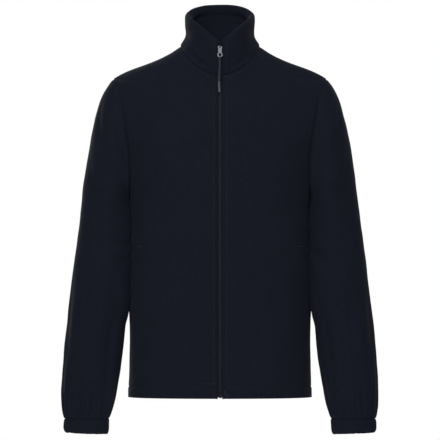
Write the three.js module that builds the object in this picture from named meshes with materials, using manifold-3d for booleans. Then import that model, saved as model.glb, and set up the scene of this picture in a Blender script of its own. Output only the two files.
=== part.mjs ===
// A fleece zip jacket, filled out and empty as a wearer would fill it, in millimetres with +Z up.
// Its front faces -Y and the wearer's left is +X. Heights in the tables are above the hem.
import * as THREE from 'three';
import Module from 'manifold-3d';

const wasm = await Module();
wasm.setup();

// Driving dimensions
const CLOTH = 2.4; // fleece, one layer
const SEAM = 0.3; // room between the edges of two sewn pieces
const HELD_HEIGHT = 690; // the level at which shoulders hold the jacket, where the origin lies
const ARMPIT = 395;
const SHOULDER_TIP = 637;
const FRONT_NECK = 642; // the neck seam at centre front
const SIDE_NECK = 699.7; // the neck seam at the top of the shoulder
const NAPE_LIFT = 9; // how far the neck seam rises from the shoulder to centre back
const FRONT_EDGE = 4.4; // from the middle of the zip to a front's edge
const TAPE_ZONE = 19; // how far in the first strip of a front reaches
const COLLAR_DEPTH = 8.6; // both layers of the collar and the room between them
const COLLAR_CORNER = 2.05; // how square the collar is in plan, 2 for a true oval
const ARM_CLEARANCE = 1.1; // between a sleeve and the body beside it
const POCKET_CLOTH = 1.6;
const CUFF_DEPTH = 4; // elastic in a doubled band
const CUFF_GATHERS = 24;
const SLEEVE_GATHERS = 13;

const NAVY = { color: 0x101624, roughness: 0.95, metalness: 0 };
const INSIDE_NAVY = { color: 0x141a28, roughness: 0.95, metalness: 0 };
const ZIP_NAVY = { color: 0x1a1f2c, roughness: 0.6, metalness: 0 };
const GUNMETAL = { color: 0x8b8d90, roughness: 0.35, metalness: 1 };
const PULL_GREY = { color: 0x2a2d35, roughness: 0.7, metalness: 0 };

// Body sections: how far it reaches to the side, to the front and to the back, and how square it is
const body = table('height half front back corner', [
  [0, 183.4, 131, 131, 2.35],
  [34, 182.3, 131.3, 130, 2.35],
  [98, 180.8, 132, 127, 2.35],
  [135, 180.1, 132.6, 124.5, 2.35],
  [164, 182.2, 133.2, 122.5, 2.35],
  [200, 183, 134, 121, 2.35],
  [300, 183, 137, 122, 2.35],
  [395, 182, 140, 128, 2.33],
  [430, 186, 139, 130, 2.3],
  [462, 191, 137, 131, 2.3],
  [500, 199, 132, 131, 2.3],
  [528, 207, 126, 129, 2.28],
  [560, 218, 116, 124, 2.25],
  [600, 226, 100, 114, 2.2],
  [620, 224, 90, 107, 2.12],
  [637, 212.2, 81, 99.5, 2.08],
  [644, 200.6, 77, 96, 2.06],
  [654, 180, 72.5, 91, 2.05],
  [664, 151, 68, 85, 2.04],
  [674, 124.8, 64, 78.5, 2.03],
  [684, 104, 60.5, 71.5, 2.02],
  [690, 94, 58.5, 67, 2.02],
  [700, 80, 56, 58, 2.02],
  [706, 74, 54, 53, 2.02],
]);

// The armhole seam: how far it lies in front of and behind the side line
const armhole = table('height front back', [
  [395, 0, 0],
  [398, 19, 19],
  [406, 35, 36],
  [420, 48, 50],
  [440, 57, 60],
  [465, 62, 65],
  [495, 65, 68],
  [525, 66, 69],
  [555, 64.5, 67],
  [582, 60, 62],
  [604, 52, 54],
  [621, 38, 39],
  [631, 24, 24],
  [637, 0, 0],
]);

// The neck seam on a front: how far it lies from the centre line
const neckSeam = table('height across', [
  [642, 4.4],
  [645, 17],
  [650, 31],
  [656, 42],
  [664, 52],
  [674, 62],
  [686, 71.5],
  [699.7, 78],
]);

// Collar sections from the neck seam, 0, to the rim, 1
const collar = table('rise half front back', [
  [0, 80, 78, 58],
  [0.13, 74.8, 79.2, 59],
  [0.22, 71.8, 80.2, 60],
  [0.32, 69.2, 81.2, 61],
  [0.42, 67.6, 82, 61.5],
  [0.6, 69, 83.2, 62],
  [0.8, 69.6, 84.4, 61.5],
  [1, 68.4, 85, 61],
]);

// The collar's rim from centre back, -90 degrees, over the side to centre front, 90 degrees
const rim = table('turn height', [
  [-90, 785],
  [-61, 783.5],
  [-47, 780],
  [-31, 774],
  [-20, 768.5],
  [0, 763],
  [19, 759],
  [34, 753.5],
  [49, 745],
  [64, 734],
  [76, 722],
  [86, 713.3],
  [90, 711.5],
]);

// Sleeve rings after the armhole seam: the point under the arm, the point outside, how far the
// ring's middle lies forward, half its depth, and how much of the armhole's own shape is left
const sleeveRings = [
  { underX: 184.4, underZ: 396.2, outX: 219.5, outZ: 630.5, forward: 0, depth: 66.5, kept: 0.88 },
  { underX: 185.3, underZ: 394.2, outX: 231.4, outZ: 614, forward: 0, depth: 70.5, kept: 0.7 },
  { underX: 185.5, underZ: 391, outX: 242.2, outZ: 592, forward: 0, depth: 73, kept: 0.5 },
  { underX: 185.2, underZ: 385.5, outX: 250.4, outZ: 561, forward: 1, depth: 74, kept: 0.3 },
  { underX: 183.5, underZ: 377, outX: 258, outZ: 523, forward: 2, depth: 73.5, kept: 0.15 },
  { underX: 180, underZ: 364, outX: 265.6, outZ: 480, forward: 3, depth: 72, kept: 0.05 },
  { underX: 176.5, underZ: 346, outX: 272.4, outZ: 432, forward: 4, depth: 70, kept: 0 },
  { underX: 174.5, underZ: 322, outX: 278.8, outZ: 374, forward: 6, depth: 67.5, kept: 0 },
  { underX: 174.5, underZ: 288, outX: 287, outZ: 312, forward: 8, depth: 64.5, kept: 0 },
  { underX: 176.5, underZ: 240, outX: 295.4, outZ: 248, forward: 10, depth: 61.5, kept: 0 },
  { underX: 182.5, underZ: 184, outX: 302.4, outZ: 185, forward: 13, depth: 59, kept: 0 },
  { underX: 188.6, underZ: 140, outX: 307.1, outZ: 140, forward: 15, depth: 57, kept: 0 },
  { underX: 193, underZ: 94, outX: 311.3, outZ: 94, forward: 17, depth: 54.5, kept: 0 },
  { underX: 198.6, underZ: 51, outX: 314.5, outZ: 51, forward: 19, depth: 52, kept: 0 },
  { underX: 205.6, underZ: 12, outX: 316, outZ: 12, forward: 21, depth: 49, kept: 0 },
  { underX: 211.6, underZ: -16, outX: 316, outZ: -16, forward: 22, depth: 46, kept: 0 },
  { underX: 217, underZ: -33, outX: 313.6, outZ: -33, forward: 22, depth: 42.5, kept: 0 },
  { underX: 220.8, underZ: -41.7, outX: 310.6, outZ: -41.7, forward: 22, depth: 40, kept: 0 },
];
const FIRST_FULL_RING = 12; // from this ring on a sleeve has twice the points round it
const FIRST_STRIP = 1.4; // the sleeve's first strip beyond the seam, which rolls up and over it
const FIRST_RISE = 0.9;

// How deep the sleeve's gathers are above the cuff
const sleeveGather = table('height depth', [
  [-42, 1.3],
  [-30, 2.2],
  [0, 2.4],
  [45, 1.3],
  [95, 0.4],
  [140, 0],
]);

// Cuff rings from the wrist seam down: its points nearest to and furthest from the body
const cuffRings = [
  { underX: 221, underZ: -42, outX: 310.4, outZ: -42, depth: 39.5, gather: 0.5 },
  { underX: 221.6, underZ: -48, outX: 312.4, outZ: -47.5, depth: 40.5, gather: 1 },
  { underX: 222, underZ: -67, outX: 313, outZ: -64, depth: 41, gather: 1 },
  { underX: 224.4, underZ: -73.6, outX: 309.2, outZ: -70.4, depth: 39, gather: 0.4 },
];
const CUFF_FORWARD = 22;

// Broad soft hollows in the body's cloth: where each lies, its reach along and across its
// own line, how far that line is turned from upright, and how deep it is
const hollows = [
  { x: 158, front: true, height: 545, long: 80, wide: 17, slant: 12, depth: 3.4 },
  { x: 140, front: true, height: 430, long: 90, wide: 26, slant: 20, depth: 2.2 },
  { x: 64, front: true, height: 90, long: 130, wide: 22, slant: -4, depth: 1.6 },
  { x: 128, front: true, height: 130, long: 150, wide: 20, slant: 5, depth: 2 },
  { x: 150, front: false, height: 520, long: 85, wide: 20, slant: 14, depth: 3.6 },
  { x: 96, front: false, height: 330, long: 120, wide: 24, slant: 24, depth: 2.6 },
  { x: 58, front: false, height: 110, long: 140, wide: 24, slant: -6, depth: 2 },
  { x: 132, front: false, height: 120, long: 150, wide: 22, slant: 6, depth: 2.2 },
];

const sideHeights = [0, 40, 85, 135, 164, 215, 270, 330, ARMPIT];
const armholeHeights = [398, 406, 420, 440, 465, 495, 525, 555, 582, 604, 621, 631];
const shoulderHeights = [SHOULDER_TIP, FRONT_NECK, 645, 650, 656, 664, 674, 686, SIDE_NECK];
const bodyHeights = [...sideHeights, ...armholeHeights, ...shoulderHeights];
const FRONT_COLUMNS = 8;
const BACK_COLUMNS = 15;

// A table of rows with named columns, read at any value of its first column
function table(names, rows) {
  const columns = names.split(' ');
  const keys = rows.map((row) => row[0]);
  const curves = columns.map((_, c) => smoothCurve(keys, rows.map((row) => row[c])));
  return (key) => Object.fromEntries(columns.map((name, c) => [name, curves[c](key)]));
}

// A smooth curve through points that never swings past them
function smoothCurve(xs, ys) {
  const slopes = xs.slice(1).map((x, i) => (ys[i + 1] - ys[i]) / (x - xs[i]));
  const tangents = xs.map((_, i) => {
    if (i === 0) return slopes[0];
    if (i === xs.length - 1) return slopes[i - 1];
    if (slopes[i - 1] * slopes[i] <= 0) return 0;
    const before = xs[i] - xs[i - 1];
    const after = xs[i + 1] - xs[i];
    const weights = (2 * after + before) / slopes[i - 1] + (after + 2 * before) / slopes[i];
    return (3 * (before + after)) / weights;
  });
  return (x) => {
    if (x <= xs[0]) return ys[0];
    if (x >= xs.at(-1)) return ys.at(-1);
    const i = xs.findIndex((next) => next > x) - 1;
    const step = xs[i + 1] - xs[i];
    const t = (x - xs[i]) / step;
    const ends = (1 + 2 * t) * (1 - t) ** 2 * ys[i] + t * t * (3 - 2 * t) * ys[i + 1];
    const turns = t * (1 - t) ** 2 * tangents[i] - t * t * (1 - t) * tangents[i + 1];
    return ends + step * turns;
  };
}

const vector = (x, y, z) => new THREE.Vector3(x, y, z);
const radians = THREE.MathUtils.degToRad;
const degrees = THREE.MathUtils.radToDeg;
const range = (count) => Array.from({ length: count }, (_, i) => i);
const mix = THREE.MathUtils.lerp;

// Distance from the middle to a squared-off oval, at an angle from its side
function ovalReach(turn, half, depth, corner) {
  const across = Math.abs(Math.cos(radians(turn))) / half;
  const along = Math.abs(Math.sin(radians(turn))) / depth;
  return (across ** corner + along ** corner) ** (-1 / corner);
}

// How far to the side the body reaches at a distance in front of (positive) its side line
function bodyReachAt(distance, height) {
  const { half, front, back, corner } = body(height);
  const share = Math.abs(distance) / (distance > 0 ? front : back);
  return share >= 1 ? 0 : half * (1 - share ** corner) ** (1 / corner);
}

// Angle of the body's surface at a distance from the centre line
function turnAcross(across, height, sign) {
  const { half, front, back, corner } = body(height);
  const depth = sign > 0 ? front : back;
  const share = Math.min(1, across / half);
  return sign * degrees(Math.atan2(depth * (1 - share ** corner) ** (1 / corner), across));
}

function hollowDepth(point, isFront) {
  let depth = 0;
  for (const hollow of hollows) {
    if (hollow.front !== isFront) continue;
    const dx = Math.abs(point.x) - hollow.x;
    const dz = point.z - hollow.height;
    const slant = radians(hollow.slant);
    const along = (dz * Math.cos(slant) + dx * Math.sin(slant)) / hollow.long;
    const across = (dx * Math.cos(slant) - dz * Math.sin(slant)) / hollow.wide;
    depth += hollow.depth * Math.exp(-along * along - across * across);
  }
  return depth;
}

// A point of the body's outer face. The turn is 0 at the side, 90 at centre front, -90 at centre back.
function bodyPoint(turn, height) {
  const { half, front, back, corner } = body(height);
  const depth = turn > 0 ? front : back;
  const sine = Math.sin(radians(turn));
  const lift = turn < 0 ? NAPE_LIFT * sine * sine * THREE.MathUtils.smoothstep(height, 600, 700) : 0;
  const reach = ovalReach(turn, half, depth, corner);
  const point = vector(reach * Math.cos(radians(turn)), -reach * sine, height + lift);
  const fadeAtSeams = Math.abs(sine) * THREE.MathUtils.smoothstep(SHOULDER_TIP - height, 0, 60);
  const pressed = reach - hollowDepth(point, turn > 0) * fadeAtSeams;
  point.x *= pressed / reach;
  point.y *= pressed / reach;
  return point;
}

function bodyNormal(turn, height) {
  const step = 0.4;
  const around = bodyPoint(turn + step, height).sub(bodyPoint(turn - step, height));
  const up = bodyPoint(turn, height + step).sub(bodyPoint(turn, height - step));
  const normal = around.cross(up).normalize();
  const outward = vector(Math.cos(radians(turn)), -Math.sin(radians(turn)), 0.5);
  return normal.dot(outward) < 0 ? normal.negate() : normal;
}

function bodySpot(turn, height) {
  return { point: bodyPoint(turn, height), normal: bodyNormal(turn, height) };
}

const moved = (spot, distance) => spot.point.clone().addScaledVector(spot.normal, distance);

// Turns a list of triangles into a mesh geometry with its faces outward
function closedGeometry(points, triangles) {
  let volume = 0;
  for (const [a, b, c] of triangles) {
    volume += points[a].dot(points[b].clone().cross(points[c]));
  }
  const outward = volume > 0 ? triangles : triangles.map(([a, b, c]) => [a, c, b]);
  const geometry = new THREE.BufferGeometry();
  const positions = points.flatMap((p) => [p.x, p.y, p.z]);
  geometry.setAttribute('position', new THREE.Float32BufferAttribute(positions, 3));
  geometry.setIndex(outward.flat());
  geometry.computeVertexNormals();
  return geometry;
}

// Triangles between two rows of points; the second row may have twice as many as the first
function strip(a, b, closed) {
  const triangles = [];
  const doubled = b.length > a.length;
  const spans = closed ? a.length : a.length - 1;
  for (let i = 0; i < spans; i++) {
    const next = (i + 1) % a.length;
    if (doubled) {
      const [left, middle, right] = [b[2 * i], b[2 * i + 1], b[(2 * i + 2) % b.length]];
      triangles.push([a[i], left, middle], [a[i], middle, a[next]], [a[next], middle, right]);
    } else {
      triangles.push([a[i], b[i], b[next]], [a[i], b[next], a[next]]);
    }
  }
  return triangles;
}

// A closed wall between an outer and an inner grid of points; a tube's rows run all round
function wall(outer, inner, tube) {
  const points = [];
  const indexed = (grid) => grid.map((row) => row.map((point) => points.push(point) - 1));
  const outside = indexed(outer);
  const within = indexed(inner);
  const triangles = [];
  const flipped = (list) => list.map(([a, b, c]) => [a, c, b]);
  for (let r = 0; r + 1 < outside.length; r++) {
    triangles.push(...strip(outside[r], outside[r + 1], tube));
    triangles.push(...flipped(strip(within[r], within[r + 1], tube)));
  }
  triangles.push(...strip(within[0], outside[0], tube));
  triangles.push(...strip(outside.at(-1), within.at(-1), tube));
  if (!tube) {
    const column = (grid, pick) => grid.map((row) => row.at(pick));
    triangles.push(...strip(column(outside, 0), column(within, 0), false));
    triangles.push(...strip(column(within, -1), column(outside, -1), false));
  }
  return closedGeometry(points, triangles);
}

function panel(spotRows, thickness) {
  const face = (depth) => spotRows.map((row) => row.map((spot) => moved(spot, -depth)));
  return wall(face(0), face(thickness), false);
}

// The same piece for the other side of the body
function mirrored(geometry) {
  const copy = geometry.clone();
  copy.applyMatrix4(new THREE.Matrix4().makeScale(-1, 1, 1));
  const index = copy.getIndex();
  for (let i = 0; i < index.count; i += 3) {
    const second = index.getX(i + 1);
    index.setX(i + 1, index.getX(i + 2));
    index.setX(i + 2, second);
  }
  copy.computeVertexNormals();
  return copy;
}

// The outer edge of a front (sign 1) or of the back (sign -1): side seam, armhole, shoulder seam
function outerTurn(height, sign) {
  if (height > ARMPIT && height < SHOULDER_TIP) {
    const { front, back } = armhole(height);
    const distance = sign > 0 ? front : back;
    return sign * degrees(Math.atan2(distance, bodyReachAt(sign * distance, height)));
  }
  const { half } = body(height);
  return sign * degrees(SEAM / 2 / half);
}

function innerTurn(height) {
  const across = height <= FRONT_NECK ? FRONT_EDGE : neckSeam(height).across;
  return turnAcross(across, height, 1);
}

function frontRow(height) {
  const start = innerTurn(height);
  const end = outerTurn(height, 1);
  if (height > FRONT_NECK) {
    return range(FRONT_COLUMNS).map((i) => bodySpot(mix(start, end, i / (FRONT_COLUMNS - 1)), height));
  }
  const second = turnAcross(TAPE_ZONE, height, 1);
  const rest = range(FRONT_COLUMNS - 1).map((i) => mix(second, end, i / (FRONT_COLUMNS - 2)));
  return [start, ...rest].map((turn) => bodySpot(turn, height));
}

function backRow(height) {
  const start = outerTurn(height, -1);
  const end = -180 - start;
  return range(BACK_COLUMNS).map((i) => bodySpot(mix(start, end, i / (BACK_COLUMNS - 1)), height));
}

// The armhole seam from the shoulder tip down the front, under the arm and up the back
function armholeSpots() {
  const down = armholeHeights.toReversed();
  return [
    bodySpot(0, SHOULDER_TIP),
    ...down.map((height) => bodySpot(outerTurn(height, 1), height)),
    bodySpot(0, ARMPIT),
    ...armholeHeights.map((height) => bodySpot(outerTurn(height, -1), height)),
  ];
}

// Angle round a sleeve, 0 outside, 90 in front and 180 under the arm
function sleeveAngles(spots) {
  const middle = (SHOULDER_TIP + ARMPIT) / 2;
  const halfHeight = (SHOULDER_TIP - ARMPIT) / 2;
  return spots.map(({ point }) => {
    const angle = Math.acos(THREE.MathUtils.clamp((point.z - middle) / halfHeight, -1, 1));
    return point.y > 0.01 ? 2 * Math.PI - angle : angle;
  });
}

function ringPoint(ring, forward, angle) {
  const along = Math.cos(angle);
  const x = mix(ring.underX, ring.outX, (1 + along) / 2);
  const z = mix(ring.underZ, ring.outZ, (1 + along) / 2);
  return vector(x, -forward - ring.depth * Math.sin(angle), z);
}

// Keeps a sleeve's point just clear of the body beside it
function besideBody(point) {
  const clear = bodyReachAt(-point.y, point.z) + ARM_CLEARANCE;
  if (point.z > 0 && point.z < FRONT_NECK) point.x = Math.max(point.x, clear);
  return point;
}

// Averages the normals of a tube's faces at each of its points
function tubeNormals(rings) {
  const normals = rings.map((ring) => ring.map(() => vector(0, 0, 0)));
  for (let r = 0; r + 1 < rings.length; r++) {
    const here = rings[r].map((point, i) => ({ point, normal: normals[r][i] }));
    const next = rings[r + 1].map((point, i) => ({ point, normal: normals[r + 1][i] }));
    for (const [a, b, c] of strip(here, next, true)) {
      const one = b.point.clone().sub(a.point);
      const other = c.point.clone().sub(a.point);
      const face = one.cross(other);
      for (const corner of [a, b, c]) corner.normal.add(face);
    }
  }
  const middle = rings.at(-1).reduce((sum, p) => sum.add(p), vector(0, 0, 0));
  middle.divideScalar(rings.at(-1).length);
  const outward = normals.at(-1)[0].dot(rings.at(-1)[0].clone().sub(middle)) > 0 ? 1 : -1;
  return normals.map((ring) => ring.map((normal) => normal.normalize().multiplyScalar(outward)));
}

function sleeve() {
  const seam = armholeSpots();
  const angles = sleeveAngles(seam);
  const middle = vector(0, 0, (SHOULDER_TIP + ARMPIT) / 2);
  middle.x = seam.reduce((sum, spot) => sum + spot.point.x, 0) / seam.length;
  const intoArmhole = seam.map((spot, i) => {
    const before = seam.at(i - 1).point;
    const after = seam[(i + 1) % seam.length].point;
    const direction = after.clone().sub(before).cross(spot.normal).normalize();
    return direction.dot(middle.clone().sub(spot.point)) < 0 ? direction.negate() : direction;
  });
  const beyondSeam = (i, into, proud) => moved(seam[i], proud).addScaledVector(intoArmhole[i], into);
  const firstRing = { underX: body(ARMPIT).half, underZ: ARMPIT, depth: 64 };
  firstRing.outX = body(SHOULDER_TIP).half;
  firstRing.outZ = SHOULDER_TIP;

  const rings = [
    seam.map((_, i) => beyondSeam(i, SEAM, 0)),
    seam.map((_, i) => beyondSeam(i, SEAM + FIRST_STRIP, FIRST_RISE)),
  ];
  const full = angles.flatMap((angle, i) => {
    const next = i + 1 < angles.length ? angles[i + 1] : angles[0] + 2 * Math.PI;
    return [angle, (angle + next) / 2];
  });
  sleeveRings.forEach((ring, r) => {
    const ringAngles = r < FIRST_FULL_RING ? angles : full;
    rings.push(ringAngles.map((angle, i) => {
      const point = ringPoint(ring, ring.forward, angle);
      if (ring.kept > 0) {
        const own = seam[i].point.clone().sub(ringPoint(firstRing, 0, angle));
        point.addScaledVector(own, ring.kept);
      }
      if (r >= FIRST_FULL_RING) {
        const wave = Math.cos((SLEEVE_GATHERS * i * 2 * Math.PI) / full.length);
        const uneven = 0.7 + 0.3 * Math.sin(3 * angle + 1);
        const outward = vector(Math.cos(angle), -Math.sin(angle), 0);
        point.addScaledVector(outward, wave * uneven * sleeveGather(ring.outZ).depth);
      }
      return besideBody(point);
    }));
  });
  const normals = tubeNormals(rings);
  normals[0] = seam.map((spot) => spot.normal);
  const inner = rings.map((ring, r) => {
    return ring.map((point, i) => point.clone().addScaledVector(normals[r][i], -CLOTH));
  });
  return wall(rings, inner, true);
}

function cuff() {
  const around = 3 * CUFF_GATHERS;
  const outer = [];
  const inner = [];
  for (const ring of cuffRings) {
    const angles = range(around).map((i) => (i * 2 * Math.PI) / around);
    const slim = { ...ring, depth: ring.depth - CUFF_DEPTH };
    slim.underX += CUFF_DEPTH;
    slim.outX -= CUFF_DEPTH;
    inner.push(angles.map((angle) => ringPoint(slim, CUFF_FORWARD, angle)));
    outer.push(angles.map((angle, i) => {
      const raised = i % 3 === 0 ? 0.9 : -0.6;
      const outward = vector(Math.cos(angle), -Math.sin(angle), 0);
      return ringPoint(ring, CUFF_FORWARD, angle).addScaledVector(outward, raised * ring.gather);
    }));
  }
  return wall(outer, inner, true);
}

// The neck seam from the left front's edge round the back to the right front's edge
function neckSpots() {
  const heights = bodyHeights.filter((height) => height >= FRONT_NECK);
  const left = heights.map((height) => frontRow(height)[0]);
  const right = left.toReversed().map(({ point, normal }) => ({
    point: vector(-point.x, point.y, point.z),
    normal: vector(-normal.x, normal.y, normal.z),
  }));
  return [...left, ...backRow(SIDE_NECK), ...right];
}

// A point of the collar's outer face above a point of the neck seam
function collarPoint(base, rise) {
  const turn = degrees(Math.atan2(-base.y, Math.abs(base.x)));
  const { half, front, back } = collar(rise);
  const reach = ovalReach(turn, half, turn > 0 ? front : back, COLLAR_CORNER);
  const top = rim(turn).height - COLLAR_DEPTH / 2;
  const own = 1 - THREE.MathUtils.smoothstep(rise, 0, 0.3);
  const x = Math.sign(base.x) * reach * Math.cos(radians(turn));
  const y = -reach * Math.sin(radians(turn));
  const edge = Math.abs(base.x) < FRONT_EDGE + 0.1 && turn > 0;
  const point = vector(edge ? base.x : mix(x, base.x, own), mix(y, base.y, own), 0);
  point.z = mix(base.z + SEAM, top, rise);
  return point;
}

const COLLAR_RISES = [0, 0.11, 0.24, 0.4, 0.7, 1];
const ROLL_STEPS = [30, 60, 90, 120, 150];

// One cloth folded over at the rim: up the outside, over, and down the inside
function collarWall() {
  const bases = neckSpots().map((spot) => spot.point);
  const plan = bases.map((base) => collarPoint(base, 0.6));
  const facing = plan.map((point, i) => {
    const along = plan[Math.min(i + 1, plan.length - 1)].clone().sub(plan[Math.max(i - 1, 0)]);
    const normal = vector(along.y, -along.x, 0).normalize();
    return normal.dot(vector(point.x, point.y, 0)) < 0 ? normal.negate() : normal;
  });
  const column = (i, depth) => {
    const side = COLLAR_DEPTH / 2 - depth;
    const middle = (rise) => collarPoint(bases[i], rise).addScaledVector(facing[i], -COLLAR_DEPTH / 2);
    const up = COLLAR_RISES.map((rise) => middle(rise).addScaledVector(facing[i], side));
    const over = ROLL_STEPS.map((angle) => {
      const point = middle(1).addScaledVector(facing[i], side * Math.cos(radians(angle)));
      point.z += side * Math.sin(radians(angle));
      return point;
    });
    const down = COLLAR_RISES.toReversed().map((rise) => middle(rise).addScaledVector(facing[i], -side));
    return [...up, ...over, ...down];
  };
  return wall(bases.map((_, i) => column(i, 0)), bases.map((_, i) => column(i, CLOTH)), false);
}

// The zip follows the fronts' edges and then the collar's
const neckColumns = neckSpots().slice(0, 2).map((spot) => spot.point);
const ZIP_BOTTOM = 3;
const ZIP_TOP = 708.4;
const CHAIN_BOTTOM = 12;
const CHAIN_TOP = 699;
const CHAIN_HALF = 3.2;
const TAPE_THICK = 0.6;
const TAPE_WIDE = 14;
const TAPE_DEPTH = CLOTH + 0.5;
const SLIDER_LEVEL = 690; // above it the slider's neck parts the tapes
const SLIDER_GAP = 1.7; // from the middle to a parted tape
const NEAR_SEAM = 30; // how far from the neck seam the tape's rows follow its slope

// Height of the neck seam above a place on the front's edge strip
function seamHeight(across) {
  const share = Math.max(0, (across - FRONT_EDGE) / (neckColumns[1].x - FRONT_EDGE));
  return mix(FRONT_NECK, neckColumns[1].z, share);
}

// A point of one of the collar's first two columns at a height
function collarColumn(column, height) {
  const points = COLLAR_RISES.map((rise) => collarPoint(neckColumns[column], rise));
  const above = Math.max(1, points.findIndex((point) => point.z > height));
  const upper = points[height > points.at(-1).z ? points.length - 1 : above];
  const lower = points[points.indexOf(upper) - 1];
  const share = THREE.MathUtils.clamp((height - lower.z) / (upper.z - lower.z), 0, 1);
  return lower.clone().lerp(upper, share);
}

// The outer face where the zip is sewn: a front's edge strip, or the collar's above it
function edgeSpot(height, across) {
  if (across < FRONT_EDGE) {
    const { point, normal } = edgeSpot(height, FRONT_EDGE);
    return { point: vector(across, point.y, point.z), normal: vector(0, normal.y, normal.z).normalize() };
  }
  const seam = seamHeight(across);
  if (height <= seam - 0.01) {
    const turn = turnAcross(across, height, 1);
    return bodySpot(turn, height);
  }
  const first = collarColumn(0, height);
  const second = collarColumn(1, height);
  const share = (across - first.x) / (second.x - first.x);
  const normal = vector(first.y - second.y, second.x - first.x, 0).normalize().negate();
  const point = first.lerp(second, share);
  point.z = Math.max(height, seam);
  if (height <= seam + 0.01) normal.add(bodySpot(turnAcross(across, height, 1), height).normal).normalize();
  return { point, normal };
}

function zipHeights(from, to) {
  const between = bodyHeights.filter((height) => height > from + 4 && height < FRONT_NECK - 3);
  const collarLevels = COLLAR_RISES.slice(1).map((rise) => collarPoint(neckColumns[0], rise).z);
  const neck = [FRONT_NECK - 3, FRONT_NECK, FRONT_NECK + 4, ...collarLevels];
  return [from, ...between, ...neck.filter((height) => height < to - 2), to];
}

function tape() {
  const spread = (height) => (height > SLIDER_LEVEL ? SLIDER_GAP : SEAM / 2);
  const row = (height, depth) => [spread(height), FRONT_EDGE, TAPE_WIDE].map((across) => {
    const nearSeam = Math.max(0, 1 - Math.abs(height - FRONT_NECK) / NEAR_SEAM);
    const level = height + (seamHeight(across) - FRONT_NECK) * nearSeam;
    const spot = edgeSpot(level, across);
    const point = moved(spot, -depth);
    point.x = across;
    return point;
  });
  const face = (depth) => zipHeights(ZIP_BOTTOM, ZIP_TOP).map((height) => row(height, depth));
  return wall(face(TAPE_DEPTH), face(TAPE_DEPTH + TAPE_THICK), false);
}

function chain() {
  const middle = (height, depth, side) => {
    const spot = edgeSpot(height, 0);
    spot.point.x = side * CHAIN_HALF;
    return moved(spot, -depth);
  };
  const face = (depth) => zipHeights(CHAIN_BOTTOM, CHAIN_TOP).map((height) => [
    middle(height, depth, -1),
    middle(height, depth, 1),
  ]);
  return wall(face(SEAM), face(CLOTH), false);
}

function box(wide, deep, high, x, y, z) {
  const geometry = new THREE.BoxGeometry(wide, deep, high);
  geometry.translate(x, y, z);
  return geometry;
}

// Joins closed geometries into one solid
function joined(geometries) {
  const solids = geometries.map((geometry) => {
    const positions = geometry.getAttribute('position');
    const merged = new Map();
    const corners = [];
    const order = range(positions.count).map((i) => {
      const key = [positions.getX(i), positions.getY(i), positions.getZ(i)].map((v) => v.toFixed(4)).join();
      if (!merged.has(key)) {
        merged.set(key, merged.size);
        corners.push(positions.getX(i), positions.getY(i), positions.getZ(i));
      }
      return merged.get(key);
    });
    const index = geometry.getIndex();
    const triangles = index ? Array.from(index.array, (i) => order[i]) : order;
    return new wasm.Manifold(new wasm.Mesh({
      numProp: 3,
      vertProperties: new Float32Array(corners),
      triVerts: new Uint32Array(triangles),
    }));
  });
  const mesh = solids.reduce((whole, solid) => whole.add(solid)).getMesh();
  const geometry = new THREE.BufferGeometry();
  geometry.setAttribute('position', new THREE.BufferAttribute(mesh.vertProperties, 3));
  geometry.setIndex(new THREE.BufferAttribute(mesh.triVerts, 1));
  geometry.computeVertexNormals();
  return geometry;
}

// A flat outline in X and Z, given its thickness along Y
function plate(shape, front, thickness, segments) {
  const settings = { depth: thickness, bevelEnabled: false, curveSegments: segments };
  const geometry = new THREE.ExtrudeGeometry(shape, settings);
  geometry.rotateX(Math.PI / 2);
  geometry.translate(0, front + thickness, 0);
  return geometry;
}

// Slider: a front plate with a crown that carries the pull, a neck and a back plate
const SLIDER_MIDDLE = 700.5;
const SLIDER_HIGH = 13;
const SLIDER_HALF = 4.7;
const PLATE_THICK = 2;
const CROWN_RADIUS = 3.4; // middle of the crown's bar from the crown's centre
const CROWN_BAR = 1.3;
const CROWN_OFF = 1.1; // the crown's centre in front of the plate
const zipFace = edgeSpot(SLIDER_MIDDLE, FRONT_EDGE).point.y; // the collar's outer face there
const plateBack = zipFace - SEAM - 0.1;
const plateFront = plateBack - PLATE_THICK;
const pivot = vector(0, plateFront - CROWN_OFF, SLIDER_MIDDLE);

function sliderOutline() {
  const top = SLIDER_MIDDLE + SLIDER_HIGH / 2;
  const bottom = SLIDER_MIDDLE - SLIDER_HIGH / 2;
  const shape = new THREE.Shape();
  shape.moveTo(-SLIDER_HALF + 1.5, top);
  shape.lineTo(SLIDER_HALF - 1.5, top);
  shape.quadraticCurveTo(SLIDER_HALF, top, SLIDER_HALF, top - 2);
  shape.lineTo(SLIDER_HALF - 1, bottom + 1);
  shape.quadraticCurveTo(SLIDER_HALF - 1.2, bottom, SLIDER_HALF - 2.4, bottom);
  shape.lineTo(-SLIDER_HALF + 2.4, bottom);
  shape.quadraticCurveTo(-SLIDER_HALF + 1.2, bottom, -SLIDER_HALF + 1, bottom + 1);
  shape.lineTo(-SLIDER_HALF, top - 2);
  shape.quadraticCurveTo(-SLIDER_HALF, top, -SLIDER_HALF + 1.5, top);
  return shape;
}

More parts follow.
